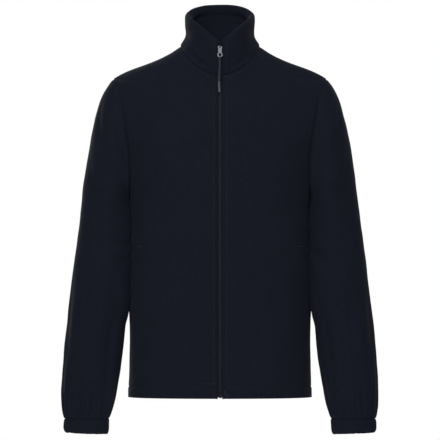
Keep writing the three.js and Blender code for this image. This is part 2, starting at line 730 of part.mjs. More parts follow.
function crown() {
  const outer = CROWN_RADIUS + CROWN_BAR / 2;
  const inner = CROWN_RADIUS - CROWN_BAR / 2;
  const shape = new THREE.Shape();
  const foot = -CROWN_OFF - 0.3;
  shape.moveTo(foot, outer);
  shape.lineTo(0, outer);
  shape.absarc(0, 0, outer, Math.PI / 2, -Math.PI / 2, true);
  shape.lineTo(foot, -outer);
  shape.lineTo(foot, -inner);
  shape.lineTo(0, -inner);
  shape.absarc(0, 0, inner, -Math.PI / 2, Math.PI / 2, false);
  shape.lineTo(foot, inner);
  shape.closePath();
  const settings = { depth: CROWN_BAR, bevelEnabled: false, curveSegments: 8 };
  const geometry = new THREE.ExtrudeGeometry(shape, settings);
  geometry.translate(0, 0, -CROWN_BAR / 2);
  const outward = new THREE.Matrix4().makeBasis(vector(0, -1, 0), vector(0, 0, 1), vector(-1, 0, 0));
  geometry.applyMatrix4(outward);
  geometry.translate(pivot.x, pivot.y, pivot.z);
  return geometry;
}

function slider() {
  const neck = { wide: 2, deep: TAPE_DEPTH + TAPE_THICK + 1.3, high: 3.4, raised: 3.6 };
  const rear = { wide: 6.4, thick: 1.1, high: 11 };
  const bite = 0.1; // how far the plates and the neck go into each other
  const neckY = plateBack + neck.deep / 2;
  const rearY = plateBack + neck.deep + rear.thick / 2 - bite;
  return joined([
    plate(sliderOutline(), plateFront, PLATE_THICK, 3),
    crown(),
    box(neck.wide, neck.deep + 2 * bite, neck.high, 0, neckY, SLIDER_MIDDLE + neck.raised),
    box(rear.wide, rear.thick, rear.high, 0, rearY, SLIDER_MIDDLE),
  ]);
}

// The pull: metal tab, looped cord and moulded end, hanging against the chest's slope
const PULL_TILT = 8; // degrees from plumb, lower end forward
const TAB_THICK = 1.4;
const TAB_EYE = 3.4; // from the pivot to the eye's middle, the same as the crown's bar
const TAB_RING = 18.6;
const TAB_HEAD = 4.4; // half the width of the tab's upper end
const TAB_WAIST = 3.7;
const RING_OUTSIDE = 5.6;
const RING_INSIDE = 3;
const CORD_THICK = 2;
const CORD_SIDES = 8;
const CORD_LEAN = 0.045; // how far the cord leans sideways for each millimetre down
const END_TOP = 70;
const END_BOTTOM = 93;

const hang = new THREE.Matrix4()
  .makeTranslation(pivot.x, pivot.y, pivot.z)
  .multiply(new THREE.Matrix4().makeRotationX(-radians(PULL_TILT)));

function tab() {
  const shape = new THREE.Shape();
  const waist = -9.6;
  const turned = 0.6; // radians from level to where the head runs into the waist
  const spread = 0.85; // the same for the ring
  const headEnd = -TAB_EYE - 3 * Math.sin(turned);
  shape.absellipse(0, -TAB_EYE, TAB_HEAD, 3, Math.PI + turned, -turned, true);
  shape.quadraticCurveTo(
    TAB_WAIST,
    waist,
    RING_OUTSIDE * Math.cos(spread),
    RING_OUTSIDE * Math.sin(spread) - TAB_RING,
  );
  shape.absarc(0, -TAB_RING, RING_OUTSIDE, spread, Math.PI - spread, true);
  shape.quadraticCurveTo(-TAB_WAIST, waist, -TAB_HEAD * Math.cos(turned), headEnd);
  const eye = new THREE.Path();
  eye.absarc(0, -TAB_EYE, 1.45, 0, 2 * Math.PI, false);
  const ring = new THREE.Path();
  ring.absarc(0, -TAB_RING, RING_INSIDE, 0, 2 * Math.PI, false);
  shape.holes.push(eye, ring);
  const geometry = plate(shape, -TAB_THICK / 2, TAB_THICK, 8);
  geometry.applyMatrix4(hang);
  return geometry;
}

// The cord goes up from the moulded end, through the tab's ring and down again.
// Each row: distance down from the pivot, sideways, and towards the front
const cordRoute = [
  [71, -1.15, 0],
  [60, -1.15, 0.05],
  [50, -1.1, 0.2],
  [40, -1.05, 0.6],
  [33, -0.9, 1.3],
  [28, -0.7, 1.95],
  [25, -0.5, 2.25],
  [22.4, -0.3, 2.3],
  [20.6, -0.15, 1.7],
  [19.6, 0, 0],
  [20.6, 0.15, -1.7],
  [22.4, 0.3, -2.3],
  [25, 0.5, -2.25],
  [28, 0.7, -1.95],
  [33, 0.9, -1.3],
  [40, 1.05, -0.6],
  [50, 1.1, -0.2],
  [60, 1.15, -0.05],
  [71, 1.15, 0],
];

const leanAt = (down) => -CORD_LEAN * Math.max(0, down - 24);

function cord() {
  const points = cordRoute.map(([down, across, out]) => vector(across + leanAt(down), -out, -down));
  const placed = points.map((point) => point.applyMatrix4(hang));
  const path = new THREE.CatmullRomCurve3(placed, false, 'centripetal');
  const section = new THREE.Shape();
  range(CORD_SIDES).forEach((i) => {
    const angle = (i * 2 * Math.PI) / CORD_SIDES;
    const corner = [Math.cos(angle), Math.sin(angle)].map((v) => (v * CORD_THICK) / 2);
    if (i === 0) section.moveTo(...corner);
    else section.lineTo(...corner);
  });
  section.closePath();
  return new THREE.ExtrudeGeometry(section, { steps: 30, bevelEnabled: false, extrudePath: path });
}

function mouldedEnd() {
  const profile = [
    [0, 0],
    [1.9, 0],
    [2.6, 1.2],
    [2.7, 14],
    [3.1, 19],
    [3.3, 21.6],
    [2.5, END_BOTTOM - END_TOP],
    [0, END_BOTTOM - END_TOP],
  ];
  const points = profile.map(([radius, down]) => new THREE.Vector2(radius, -down));
  const geometry = new THREE.LatheGeometry(points.toReversed(), 12);
  geometry.rotateX(Math.PI / 2);
  geometry.rotateY(-Math.atan(CORD_LEAN));
  geometry.translate(leanAt(END_TOP), 0, -END_TOP - CORD_THICK / 2 - SEAM);
  geometry.applyMatrix4(hang);
  return geometry;
}

// Pocket bags lie flat inside the fronts and open in the side seams
const POCKET_BOTTOM = 135;
const POCKET_TOP = 301;
const POCKET_REACH = 106; // the bag's inner edge lies on the front's first column beyond this

function pocketBag() {
  const inside = bodyHeights.filter((height) => height > POCKET_BOTTOM && height < POCKET_TOP);
  const rows = [POCKET_BOTTOM, ...inside, POCKET_TOP].map((height) => {
    return frontRow(height).filter(({ point }) => point.x > POCKET_REACH);
  });
  const count = Math.min(...rows.map((row) => row.length));
  const face = (depth) => rows.map((row) => row.slice(-count).map((spot) => moved(spot, -depth)));
  return wall(face(CLOTH + SEAM), face(CLOTH + SEAM + POCKET_CLOTH), false);
}

const jacket = new THREE.Group();
jacket.name = 'fleece_zip_jacket';

function add(name, geometry, finish) {
  const mesh = new THREE.Mesh(geometry, new THREE.MeshStandardMaterial(finish));
  mesh.name = name;
  jacket.add(mesh);
}

function addPair(name, geometry, finish) {
  add(`${name}_left`, geometry, finish);
  add(`${name}_right`, mirrored(geometry), finish);
}

addPair('front', panel(bodyHeights.map(frontRow), CLOTH), NAVY);
add('back', panel(bodyHeights.map(backRow), CLOTH), NAVY);
addPair('sleeve', sleeve(), NAVY);
addPair('cuff', cuff(), NAVY);
add('collar', collarWall(), NAVY);
addPair('pocket_bag', pocketBag(), INSIDE_NAVY);
addPair('zip_tape', tape(), ZIP_NAVY);
add('zip_chain', chain(), ZIP_NAVY);
add('zip_slider', slider(), GUNMETAL);
add('pull_tab', tab(), GUNMETAL);
add('pull_cord', cord(), PULL_GREY);
add('pull_end', mouldedEnd(), PULL_GREY);

jacket.position.z = -HELD_HEIGHT;

export default jacket;
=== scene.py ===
import math

import bmesh
import bpy
import numpy as np
from mathutils import Matrix, Vector, kdtree, noise
from mathutils.bvhtree import BVHTree


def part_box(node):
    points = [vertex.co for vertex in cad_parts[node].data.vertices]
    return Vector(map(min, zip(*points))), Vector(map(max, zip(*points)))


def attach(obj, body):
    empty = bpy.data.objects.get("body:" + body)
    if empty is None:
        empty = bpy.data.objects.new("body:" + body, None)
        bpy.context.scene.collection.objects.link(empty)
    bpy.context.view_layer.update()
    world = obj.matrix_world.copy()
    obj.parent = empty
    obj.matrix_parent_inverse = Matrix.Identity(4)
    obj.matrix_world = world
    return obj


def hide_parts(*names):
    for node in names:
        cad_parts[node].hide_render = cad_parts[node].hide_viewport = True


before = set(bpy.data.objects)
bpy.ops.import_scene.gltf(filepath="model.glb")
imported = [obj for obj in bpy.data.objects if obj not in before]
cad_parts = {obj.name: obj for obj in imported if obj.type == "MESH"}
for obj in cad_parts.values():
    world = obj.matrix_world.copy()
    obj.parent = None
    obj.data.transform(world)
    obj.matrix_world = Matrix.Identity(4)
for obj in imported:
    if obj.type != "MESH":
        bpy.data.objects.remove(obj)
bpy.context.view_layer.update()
scene = bpy.context.scene

# Camera: the jacket is seen from straight ahead through a long lens, level with the middle of
# its body. At its side seams one pixel of the photo's 440 is 2 mm of jacket.
PHOTO_PIXELS = 440
PIXEL = 0.002
HELD_HEIGHT = 0.690  # the hem lies this far below the origin
VIEW_MIDDLE = 0.354  # height of the picture's middle above the hem
CAMERA_AWAY = 12.0
SENSOR_MM = 36.0

camera_data = bpy.data.cameras.new("camera")
camera_data.sensor_width = SENSOR_MM
camera_data.lens = SENSOR_MM * CAMERA_AWAY / (PHOTO_PIXELS * PIXEL)
camera_data.clip_end = 100.0
camera = bpy.data.objects.new("camera", camera_data)
camera.location = (0.0, -CAMERA_AWAY, VIEW_MIDDLE - HELD_HEIGHT)
camera.rotation_euler = (math.radians(90.0), 0.0, 0.0)
scene.collection.objects.link(camera)
scene.camera = camera

# Pull cord: a limp braided polyester cord, looped through the tab's lower ring. Both its ends go
# into the moulded end, and the photo shows the whole loop, so its length is the loop's own.
PIVOT = Vector((0.0, -0.087863, 0.0105))  # middle of the slider's crown
PULL_TILT = math.radians(8.0)  # the pull hangs clear of the chest's slope
CORD_THICK = 0.002
CORD_LEAN = 0.045  # sideways for each metre down, from this many millimetres down
LEAN_FROM = 24.0
CORD_SIDES = 20
CORD_STEPS = 9  # between two of the route's points
BRAID_PITCH = 0.0009  # from one strand of the braid to the next
BRAID_SLANT = 4  # pitches round the cord
# Each row: millimetres down from the pivot, sideways, and towards the front
CORD_ROUTE = [
    (71, -1.15, 0),
    (60, -1.15, 0.05),
    (50, -1.1, 0.2),
    (40, -1.05, 0.6),
    (33, -0.9, 1.3),
    (28, -0.7, 1.95),
    (25, -0.5, 2.25),
    (22.4, -0.3, 2.3),
    (20.6, -0.15, 1.7),
    (19.6, 0, 0),
    (20.6, 0.15, -1.7),
    (22.4, 0.3, -2.3),
    (25, 0.5, -2.25),
    (28, 0.7, -1.95),
    (33, 0.9, -1.3),
    (40, 1.05, -0.6),
    (50, 1.1, -0.2),
    (60, 1.15, -0.05),
    (71, 1.15, 0),
]

hang = Matrix.Translation(PIVOT) @ Matrix.Rotation(-PULL_TILT, 4, "X")


def pull_point(down, across, out):
    """A point of the hanging pull, from millimetres down, sideways and towards the front."""
    lean = -CORD_LEAN * max(0.0, down - LEAN_FROM)
    return hang @ (Vector((across + lean, -out, -down)) / 1000)


def smooth_route(points, steps):
    """More points on a smooth curve through the given ones."""
    ends = [points[0] * 2 - points[1], *points, points[-1] * 2 - points[-2]]
    route = []
    for i in range(1, len(ends) - 2):
        before, here, there, after = ends[i - 1:i + 3]
        for step in range(steps):
            t = step / steps
            bend = (there - before) * t + (before * 2 - here * 5 + there * 4 - after) * t**2
            route.append(here + (bend + (here * 3 - before - there * 3 + after) * t**3) / 2)
    return [*route, points[-1].copy()]


def new_piece(name, mesh, finish):
    piece = bpy.data.objects.new(name, mesh)
    scene.collection.objects.link(piece)
    if finish:
        mesh.materials.clear()
        mesh.materials.append(finish)
    return piece


def tube(name, route, radius, sides, finish):
    """A closed round tube, with its length and turn in metres on its UV map."""
    work = bmesh.new()
    across = Vector((1, 0, 0))
    rings = []
    reach = [0.0]
    for before, here in zip(route, route[1:]):
        reach.append(reach[-1] + (here - before).length)
    for i, point in enumerate(route):
        along = (route[min(i + 1, len(route) - 1)] - route[max(i - 1, 0)]).normalized()
        across = (across - along * across.dot(along)).normalized()
        other = along.cross(across)
        ring = []
        for side in range(sides):
            turn = 2 * math.pi * side / sides
            spoke = across * math.cos(turn) + other * math.sin(turn)
            ring.append(work.verts.new(point + spoke * radius))
        rings.append(ring)
    uv = work.loops.layers.uv.new("along")
    for i in range(len(rings) - 1):
        for side in range(sides):
            after = (side + 1) % sides
            corners = (rings[i][side], rings[i][after], rings[i + 1][after], rings[i + 1][side])
            face = work.faces.new(corners)
            spots = ((side, i), (side + 1, i), (side + 1, i + 1), (side, i + 1))
            for loop, (turn, step) in zip(face.loops, spots):
                loop[uv].uv = (reach[step], turn / sides)
    work.faces.new(rings[0][::-1])
    work.faces.new(rings[-1])
    bmesh.ops.recalc_face_normals(work, faces=work.faces[:])
    mesh = bpy.data.meshes.new(name)
    work.to_mesh(mesh)
    work.free()
    mesh.shade_smooth()
    return new_piece(name, mesh, finish)


def material(name, roughness, metallic=0.0, specular=0.5):
    """A new material: its nodes, its links and its shader."""
    made = bpy.data.materials.new(name)
    made.use_nodes = True
    nodes = made.node_tree.nodes
    shader = nodes["Principled BSDF"]
    shader.inputs["Roughness"].default_value = roughness
    shader.inputs["Metallic"].default_value = metallic
    shader.inputs["Specular IOR Level"].default_value = specular
    return made, nodes, made.node_tree.links, shader


def ramp(nodes, links, value, stops):
    """Colours laid over a value, from (position, red, green, blue) stops."""
    made = nodes.new("ShaderNodeValToRGB")
    elements = made.color_ramp.elements
    while len(elements) < len(stops):
        elements.new(0.5)
    for element, (position, *colour) in zip(elements, stops):
        element.position = position
        element.color = (*colour, 1.0)
    links.new(value, made.inputs["Fac"])
    return made.outputs["Color"]


def bump(nodes, links, height, distance, strength, before=None):
    """Small relief from a value, over the relief before it."""
    made = nodes.new("ShaderNodeBump")
    made.inputs["Distance"].default_value = distance
    made.inputs["Strength"].default_value = strength
    links.new(height, made.inputs["Height"])
    if before is not None:
        links.new(before, made.inputs["Normal"])
    return made.outputs["Normal"]


def worked_out(nodes, links, operation, one, other=None):
    """The result of a Math node, from one or two outputs or numbers."""
    made = nodes.new("ShaderNodeMath")
    made.operation = operation
    for socket, value in zip(made.inputs, (one, other)):
        if isinstance(value, float):
            socket.default_value = value
        elif value is not None:
            links.new(value, socket)
    return made.outputs[0]


def braid_finish():
    """Strands that cross on a slant, both ways round, each painted bright on top as a highlight and
    painted dark between as shade.
    """
    made, nodes, links, shader = material("braided_cord", 0.75, specular=0.3)
    place = nodes.new("ShaderNodeUVMap")
    place.uv_map = "along"
    waves = []
    for pitch in (BRAID_PITCH, -BRAID_PITCH):
        spread = nodes.new("ShaderNodeMapping")
        spread.inputs["Scale"].default_value = (1.0, pitch * BRAID_SLANT, 1.0)
        links.new(place.outputs["UV"], spread.inputs["Vector"])
        parts = nodes.new("ShaderNodeSeparateXYZ")
        links.new(spread.outputs["Vector"], parts.inputs["Vector"])
        total = worked_out(nodes, links, "ADD", parts.outputs["X"], parts.outputs["Y"])
        wave = worked_out(nodes, links, "MULTIPLY", total, 2 * math.pi / BRAID_PITCH)
        waves.append(worked_out(nodes, links, "SINE", wave))
    strand_relief_painted_shade = worked_out(nodes, links, "MAXIMUM", *waves)
    # Painted shade and highlight: the colour follows the strands' relief, dark in the gaps and light
    # on the tops.
    stops = [(0.0, 0.007, 0.0095, 0.015), (0.9, 0.029, 0.037, 0.056)]
    links.new(ramp(nodes, links, strand_relief_painted_shade, stops), shader.inputs["Base Color"])
    links.new(bump(nodes, links, strand_relief_painted_shade, 0.0002, 0.6), shader.inputs["Normal"])
    return made


cord_route = smooth_route([pull_point(*row) for row in CORD_ROUTE], CORD_STEPS)
pull_cord = tube("pull_loop_cord", cord_route, CORD_THICK / 2, CORD_SIDES, braid_finish())
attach(pull_cord, "pull")
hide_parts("pull_cord")

# Fronts: two panels of brushed polyester fleece, each cut in one piece from the hem to the
# shoulder seam. They are turned back along the zip and rolled into the side, armhole and neck
# seams, whose turnings are overlocked together and stand up inside.
SIDES = (("left", 1), ("right", -1))
CLOTH = 0.0024
SEAM_ROLL = 0.0011  # how far cloth rolls in at a seam, and how wide
SEAM_REACH = 0.0021
SEAM_PUFF = 0.0004  # how far it stands up beside the seam, where and how wide
PUFF_PLACE = 0.0075
PUFF_REACH = 0.004
PRESSED_ABOVE = 0.595  # height above which seams are pressed flat
PRESSED_OUTSIDE = 0.045  # from the neck outwards
PRESSED_SHARE = 0.75
TIP_ACROSS = 0.15  # the shoulder's tip is further out than this, and between these levels
TIP_LEVELS = (-0.095, -0.015)
TIP_ROUNDS = 60  # of evening out
HEM_EDGE = 0.003 - HELD_HEIGHT  # edges below this are the hem's own, without a seam
STRIP = 0.005  # width of the finer strip along each edge
FINE = 3  # subdivision level of the big pieces


def in_quads(work):
    """Joins a CAD solid's triangles in pairs."""
    bmesh.ops.join_triangles(
        work,
        faces=work.faces[:],
        angle_face_threshold=math.radians(60),
        angle_shape_threshold=math.radians(80),
    )


def outer_side(node, thickness, slack=0.000005):
    """The outer side of a cloth solid, as one open sheet of quads in a bmesh."""
    work = bmesh.new()
    work.from_mesh(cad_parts[node].data)
    bmesh.ops.remove_doubles(work, verts=work.verts, dist=1e-5)
    edges_as_thick = [e for e in work.edges if abs(e.calc_length() - thickness) < slack]
    rim = {face for edge in edges_as_thick for face in edge.link_faces}
    unseen = {face for face in work.faces if face not in rim}
    sides = []
    while unseen:
        stack = [unseen.pop()]
        side = set(stack)
        while stack:
            for edge in stack.pop().edges:
                found = [face for face in edge.link_faces if face in unseen]
                unseen.difference_update(found)
                side.update(found)
                stack.extend(found)
        sides.append(side)
    outer = max(sides, key=lambda side: sum(face.calc_area() for face in side))
    rest = [face for face in work.faces if face not in outer]
    bmesh.ops.delete(work, geom=rest, context="FACES")
    in_quads(work)
    return work


def add_edge_strip(work, width):
    """Cuts a narrow strip along the open edges, so that a seam can roll in sharply."""
    added = set()
    for vert in [v for v in work.verts if v.is_boundary]:
        for edge in list(vert.link_edges):
            far = edge.other_vert(vert)
            if edge.is_boundary or far.is_boundary or far in added:
                continue
            share = min(width / edge.calc_length(), 0.45)
            added.add(bmesh.utils.edge_split(edge, vert, share)[1])
    for face in list(work.faces):
        cuts = [v for v in face.verts if v in added]
        if len(cuts) == 2:
            bmesh.utils.face_split(face, cuts[0], cuts[1])


def keep_corners(work, degrees=50):
    """Marks the corners of a panel's edge, which stay put when it is made finer: where it turns
    by more than the given degrees."""
    crease = work.verts.layers.float.new("crease_vert")
    for vert in work.verts:
        edges = [e for e in vert.link_edges if e.is_boundary]
        if len(edges) == 2:
            one, two = [e.other_vert(vert).co - vert.co for e in edges]
            if math.pi - one.angle(two) > math.radians(degrees):
                vert[crease] = 1.0


def made_finer(name, work, level):
    """A finer plain mesh on the smooth surface of a coarse one."""
    mesh = bpy.data.meshes.new(name)
    work.to_mesh(mesh)
    work.free()
    rough = new_piece(name + "_rough", mesh, None)
    smooth = rough.modifiers.new("smooth", "SUBSURF")
    smooth.levels = level
    smooth.render_levels = level
    smooth.boundary_smooth = "PRESERVE_CORNERS"
    return finished(rough)


def finished(piece):
    """A piece's mesh with its modifiers worked in. The piece itself is removed."""
    ready = piece.evaluated_get(bpy.context.evaluated_depsgraph_get())
    mesh = bpy.data.meshes.new_from_object(ready)
    bpy.data.objects.remove(piece)
    return mesh


def places(mesh):
    """The mesh's points, a row each."""
    flat = np.empty(len(mesh.vertices) * 3)
    mesh.vertices.foreach_get("co", flat)
    return flat.reshape(-1, 3)


def facings(mesh):
    """The way out of the cloth at each of its points."""
    flat = np.empty(len(mesh.vertices) * 3)
    mesh.vertex_normals.foreach_get("vector", flat)
    return flat.reshape(-1, 3)


def at_shoulder_tip(spot):
    return abs(spot.x) > TIP_ACROSS and TIP_LEVELS[0] < spot.z < TIP_LEVELS[1]


def even_shoulder_tips(mesh):
    """Evens out the cloth at the shoulder's tip, without its edges."""
    work = bmesh.new()
    work.from_mesh(mesh)
    loose = [v for v in work.verts if at_shoulder_tip(v.co) and not v.is_boundary]
    for _ in range(TIP_ROUNDS):
        bmesh.ops.smooth_vert(
            work, verts=loose, factor=0.5, use_axis_x=True, use_axis_y=True, use_axis_z=True
        )
    work.to_mesh(mesh)
    work.free()


def open_edges(mesh):
    """The edges of a sheet that have a face on one side only, as pairs of points."""
    uses = {}
    for polygon in mesh.polygons:
        for key in polygon.edge_keys:
            uses[key] = uses.get(key, 0) + 1
    return [key for key, times in uses.items() if times == 1]


def edge_distance(mesh, above=-1.0):
    """How far each point lies from the open edges above a level."""
    rim = sorted({v for key in open_edges(mesh) for v in key if mesh.vertices[v].co.z > above})
    tree = kdtree.KDTree(len(rim))
    for v in rim:
        tree.insert(mesh.vertices[v].co, v)
    tree.balance()
    return np.array([tree.find(v.co)[2] for v in mesh.vertices])


def hump(value, place, reach):
    """A soft hump, 1 at its place."""
    return np.exp(-(((value - place) / reach) ** 2))


def seam_profile(distance, share):
    """The cloth's roll into a seam and its puff beside it."""
    roll = -SEAM_ROLL * hump(distance, 0, SEAM_REACH)
    puff = SEAM_PUFF * hump(distance, PUFF_PLACE, PUFF_REACH)
    return (roll + puff) * share


def pressed(heights, across):
    """Seams are pressed flat on the shoulders and beside the neck."""
    high = np.clip((heights - PRESSED_ABOVE) / 0.02, 0, 1)
    outside = np.clip((np.abs(across) - PRESSED_OUTSIDE) / 0.015, 0, 1)
    return 1 - PRESSED_SHARE * high * outside


def fold_profile(u, v, folds):
    """Millimetres by which folds lift a point. Each runs between two points with a bow, and
    beside its trough or ridge the cloth rolls a little the other way."""
    total = np.zeros(len(u))
    for u1, v1, u2, v2, bow, width, depth in folds:
        du, dv = u2 - u1, v2 - v1
        length = math.hypot(du, dv)
        along = np.clip(((u - u1) * du + (v - v1) * dv) / length**2, 0, 1)
        aside = ((v - v1) * du - (u - u1) * dv) / length - bow * 4 * along * (1 - along)
        taper = np.sin(math.pi * along) ** 1.3
        q = aside / width
        total += depth * taper * (np.exp(-q * q) - 0.4 * np.exp(-((q - 1.8) ** 2)))
    return total


def uneven(points, size, depth, start):
    """Slow swells of the cloth, of a size and depth in metres."""
    lift = [noise.noise(Vector(point) / size + Vector((start, start, start))) for point in points]
    return np.array(lift) * depth


def put(mesh, points):
    mesh.vertices.foreach_set("co", points.ravel())
    mesh.update()


def smooth_to_edges(mesh, degrees=52):
    """Smooth shading, but for edges that turn more sharply."""
    mesh.shade_smooth()
    mesh.set_sharp_from_angle(angle=math.radians(degrees))


surfaces = {}  # each cloth's outer side, by its piece's name


def cloth_piece(name, mesh, thickness, finish):
    """A cloth piece: its outer side is given, and its thickness goes in from there."""
    surfaces[name] = BVHTree.FromPolygons(
        [v.co.copy() for v in mesh.vertices], [tuple(p.vertices) for p in mesh.polygons]
    )
    piece = new_piece(name, mesh, finish)
    wall = piece.modifiers.new("thickness", "SOLIDIFY")
    wall.thickness = thickness
    wall.offset = -1.0
    wall.use_rim = True
    mesh = finished(piece)
    smooth_to_edges(mesh)
    return new_piece(name, mesh, finish)


def open_runs(mesh):
    """The mesh's open edges, as closed runs of points in order."""
    joined = {}
    for one, other in open_edges(mesh):
        joined.setdefault(one, set()).add(other)
        joined.setdefault(other, set()).add(one)
    runs = []
    while joined:
        here = next(iter(joined))
        run = []
        while here is not None:
            run.append(here)
            here = next((v for v in joined.pop(here) if v in joined), None)
        runs.append(run)
    return runs


def stretch(mesh, run, chosen):
    """The stretch of a closed run whose points are chosen, in order."""
    marks = [chosen(mesh.vertices[v].co) for v in run]
    first = next(i for i in range(len(run)) if marks[i] and not marks[i - 1])
    return [v for v, mark in zip(run[first:] + run[:first], marks[first:] + marks[:first]) if mark]


TURNING_TOP = 0.0010  # from the cloth's outer side in to the turnings and to their end
TURNING_DEEP = 0.0088
TURNING_HALF = 0.0019  # half their thickness, and how much they narrow at their end
TURNING_TIP = 0.001
TURNING_WAVE = 0.0006


def turnings(name, mesh, run, closed=False):
    """Both pieces' turnings along a seam, overlocked together and standing inside."""
    work = bmesh.new()
    rings = []
    for i, v in enumerate(run):
        inward = -mesh.vertex_normals[v].vector
        after = run[(i + 1) % len(run)] if closed else run[min(i + 1, len(run) - 1)]
        before = run[i - 1] if closed else run[max(i - 1, 0)]
        along = mesh.vertices[after].co - mesh.vertices[before].co
        aside = inward.cross(along).normalized() * TURNING_HALF
        deep = TURNING_DEEP + TURNING_WAVE * math.sin(0.9 * i)
        tip = deep - TURNING_TIP
        corners = [(TURNING_TOP, -1), (TURNING_TOP, 1), (tip, 1), (deep, 0), (tip, -1)]
        spot = mesh.vertices[v].co
        rings.append([work.verts.new(spot + inward * far + aside * part) for far, part in corners])
    after_each = rings[1:] + rings[:1] if closed else rings[1:]
    for one, other in zip(rings, after_each):
        for k in range(len(one)):
            after = (k + 1) % len(one)
            work.faces.new((one[k], one[after], other[after], other[k]))
    if not closed:
        work.faces.new(rings[0])
        work.faces.new(rings[-1][::-1])
    bmesh.ops.recalc_face_normals(work, faces=work.faces[:])
    made = bpy.data.meshes.new(name)
    work.to_mesh(made)
    work.free()
    smooth_to_edges(made)
    piece = new_piece(name, made, fleece)
    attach(piece, "root")


def noise_texture(nodes, links, place, scale, detail):
    texture = nodes.new("ShaderNodeTexNoise")
    texture.inputs["Scale"].default_value = scale
    texture.inputs["Detail"].default_value = detail
    links.new(place, texture.inputs["Vector"])
    return texture.outputs["Fac"]


def fleece_finish():
    """Brushed fleece: a short matt nap in soft clumps, near black with a blue cast."""
    made, nodes, links, shader = material("navy_fleece", 1.0, specular=0.12)
    shader.inputs["Sheen Weight"].default_value = 0.03
    shader.inputs["Sheen Roughness"].default_value = 0.5
    shader.inputs["Sheen Tint"].default_value = (0.36, 0.42, 0.62, 1.0)
    place = nodes.new("ShaderNodeTexCoord").outputs["Object"]
    nap = noise_texture(nodes, links, place, 900.0, 3.0)
    clumps = noise_texture(nodes, links, place, 260.0, 2.0)
    swells = noise_texture(nodes, links, place, 14.0, 2.0)
    blend = nodes.new("ShaderNodeMix")
    blend.data_type = "FLOAT"
    blend.inputs["Factor"].default_value = 0.5
    links.new(nap, blend.inputs["A"])
    links.new(clumps, blend.inputs["B"])
    tone = ramp(nodes, links, blend.outputs["Result"], [
        (0.34, 0.0040, 0.0053, 0.0099),
        (0.50, 0.0057, 0.0073, 0.0132),
        (0.66, 0.0078, 0.0098, 0.0172),
    ])
    shade = ramp(nodes, links, swells, [(0.3, 0.86, 0.87, 0.9), (0.7, 1.0, 1.0, 1.0)])
    whole = nodes.new("ShaderNodeMix")
    whole.data_type = "RGBA"
    whole.blend_type = "MULTIPLY"
    whole.inputs["Factor"].default_value = 1.0
    links.new(tone, whole.inputs["A"])
    links.new(shade, whole.inputs["B"])
    links.new(whole.outputs["Result"], shader.inputs["Base Color"])
    coarse = bump(nodes, links, clumps, 0.0009, 0.25)
    links.new(bump(nodes, links, nap, 0.0005, 0.35, coarse), shader.inputs["Normal"])
    return made


fleece = fleece_finish()

# Folds of a front, in millimetres: from across, height, to across, height, bow, width and depth.
# Across is from the zip outwards, and height is above the hem.
FRONT_FOLDS = {
    "left": [
        (26, 641, 74, 678, -5, 6, -1.7),
        (46, 640, 92, 668, -7, 9, -1.2),
        (166, 590, 128, 500, 8, 13, -1.5),
        (176, 500, 120, 452, -9, 12, -1.7),
        (180, 425, 138, 470, 6, 9, -1.6),
        (178, 372, 112, 330, -8, 16, -1.3),
        (58, 250, 70, 30, 8, 20, -1.6),
        (112, 300, 124, 60, -9, 17, -1.9),
        (158, 250, 150, 16, 6, 12, -1.6),
        (34, 560, 40, 380, 5, 22, -0.9),
        (92, 600, 80, 470, -6, 24, -1.0),
        (150, 312, 178, 300, 3, 6, -1.0),
    ],
    "right": [
        (24, 640, 72, 676, -5, 6, -1.9),
        (50, 640, 98, 664, -7, 10, -1.1),
        (170, 580, 134, 512, 7, 12, -1.7),
        (178, 486, 126, 430, -8, 13, -1.6),
        (181, 418, 146, 462, 7, 9, -1.7),
        (178, 350, 104, 318, -9, 17, -1.2),
        (50, 280, 60, 40, 7, 22, -1.5),
        (104, 260, 118, 24, -8, 16, -2.0),
        (150, 280, 158, 30, 6, 13, -1.7),
        (36, 520, 30, 350, 6, 24, -0.9),
        (98, 590, 88, 440, -7, 22, -1.1),
        (148, 310, 178, 301, 3, 6, -1.0),
    ],
}
HEM_STITCH = 0.0212  # height of the hem's stitch line
HEM_LOOPS = (0.014, 0.0187, 0.0237, 0.028)  # heights of the rows of edges that shape it
HEM_BAND = 0.0006  # the doubled hem stands out, and its stitches draw a furrow
HEM_FURROW = 0.0009
ZIP_STITCH = 0.0125  # from the zip's middle to the stitch line and to the edge's ridge
ZIP_RIDGE = 0.0085
STITCH_FURROW = 0.0008  # how deep the stitches draw in, and how high the edge stands
RIDGE_HIGH = 0.0007
NECK_CORNER = 0.645  # height where a front's edge ends in the neck seam
SHOULDER_TIP = 0.637 - HELD_HEIGHT
UNDERARM_SEAM = 0.394 - HELD_HEIGHT
BESIDE_THE_ARM = -0.012  # the shoulder and side seams lie behind this
TURNED_UP = 0.008 - HELD_HEIGHT  # the side seams' turnings end inside the hem
NECK_FOOT = 0.638 - HELD_HEIGHT  # the neck seam lies above this, and between these across
NECK_ACROSS = (0.012, 0.081)


def at_neck(spot):
    return spot.z > NECK_FOOT and abs(spot.x) < NECK_ACROSS[1]


def at_front_neck(spot):
    return at_neck(spot) and abs(spot.x) > NECK_ACROSS[0]


def at_shoulder(spot):
    return spot.z > SHOULDER_TIP and spot.y > BESIDE_THE_ARM


def at_side(spot):
    return TURNED_UP < spot.z < UNDERARM_SEAM and spot.y > BESIDE_THE_ARM


def height_of(points):
    return points[:, 2] + HELD_HEIGHT


def cut_level(work, height):
    """One more row of edges round a piece at a height above the hem."""
    everything = work.verts[:] + work.edges[:] + work.faces[:]
    middle = (0.0, 0.0, height - HELD_HEIGHT)
    bmesh.ops.bisect_plane(work, geom=everything, plane_co=middle, plane_no=(0, 0, 1), dist=1e-6)


def hem_profile(heights):
    """The hem is turned up: a doubled band that ends in a stitched furrow."""
    band = HEM_BAND * np.clip((HEM_STITCH - heights) / 0.003, 0, 1)
    return band - HEM_FURROW * hump(heights, HEM_STITCH, 0.0018)


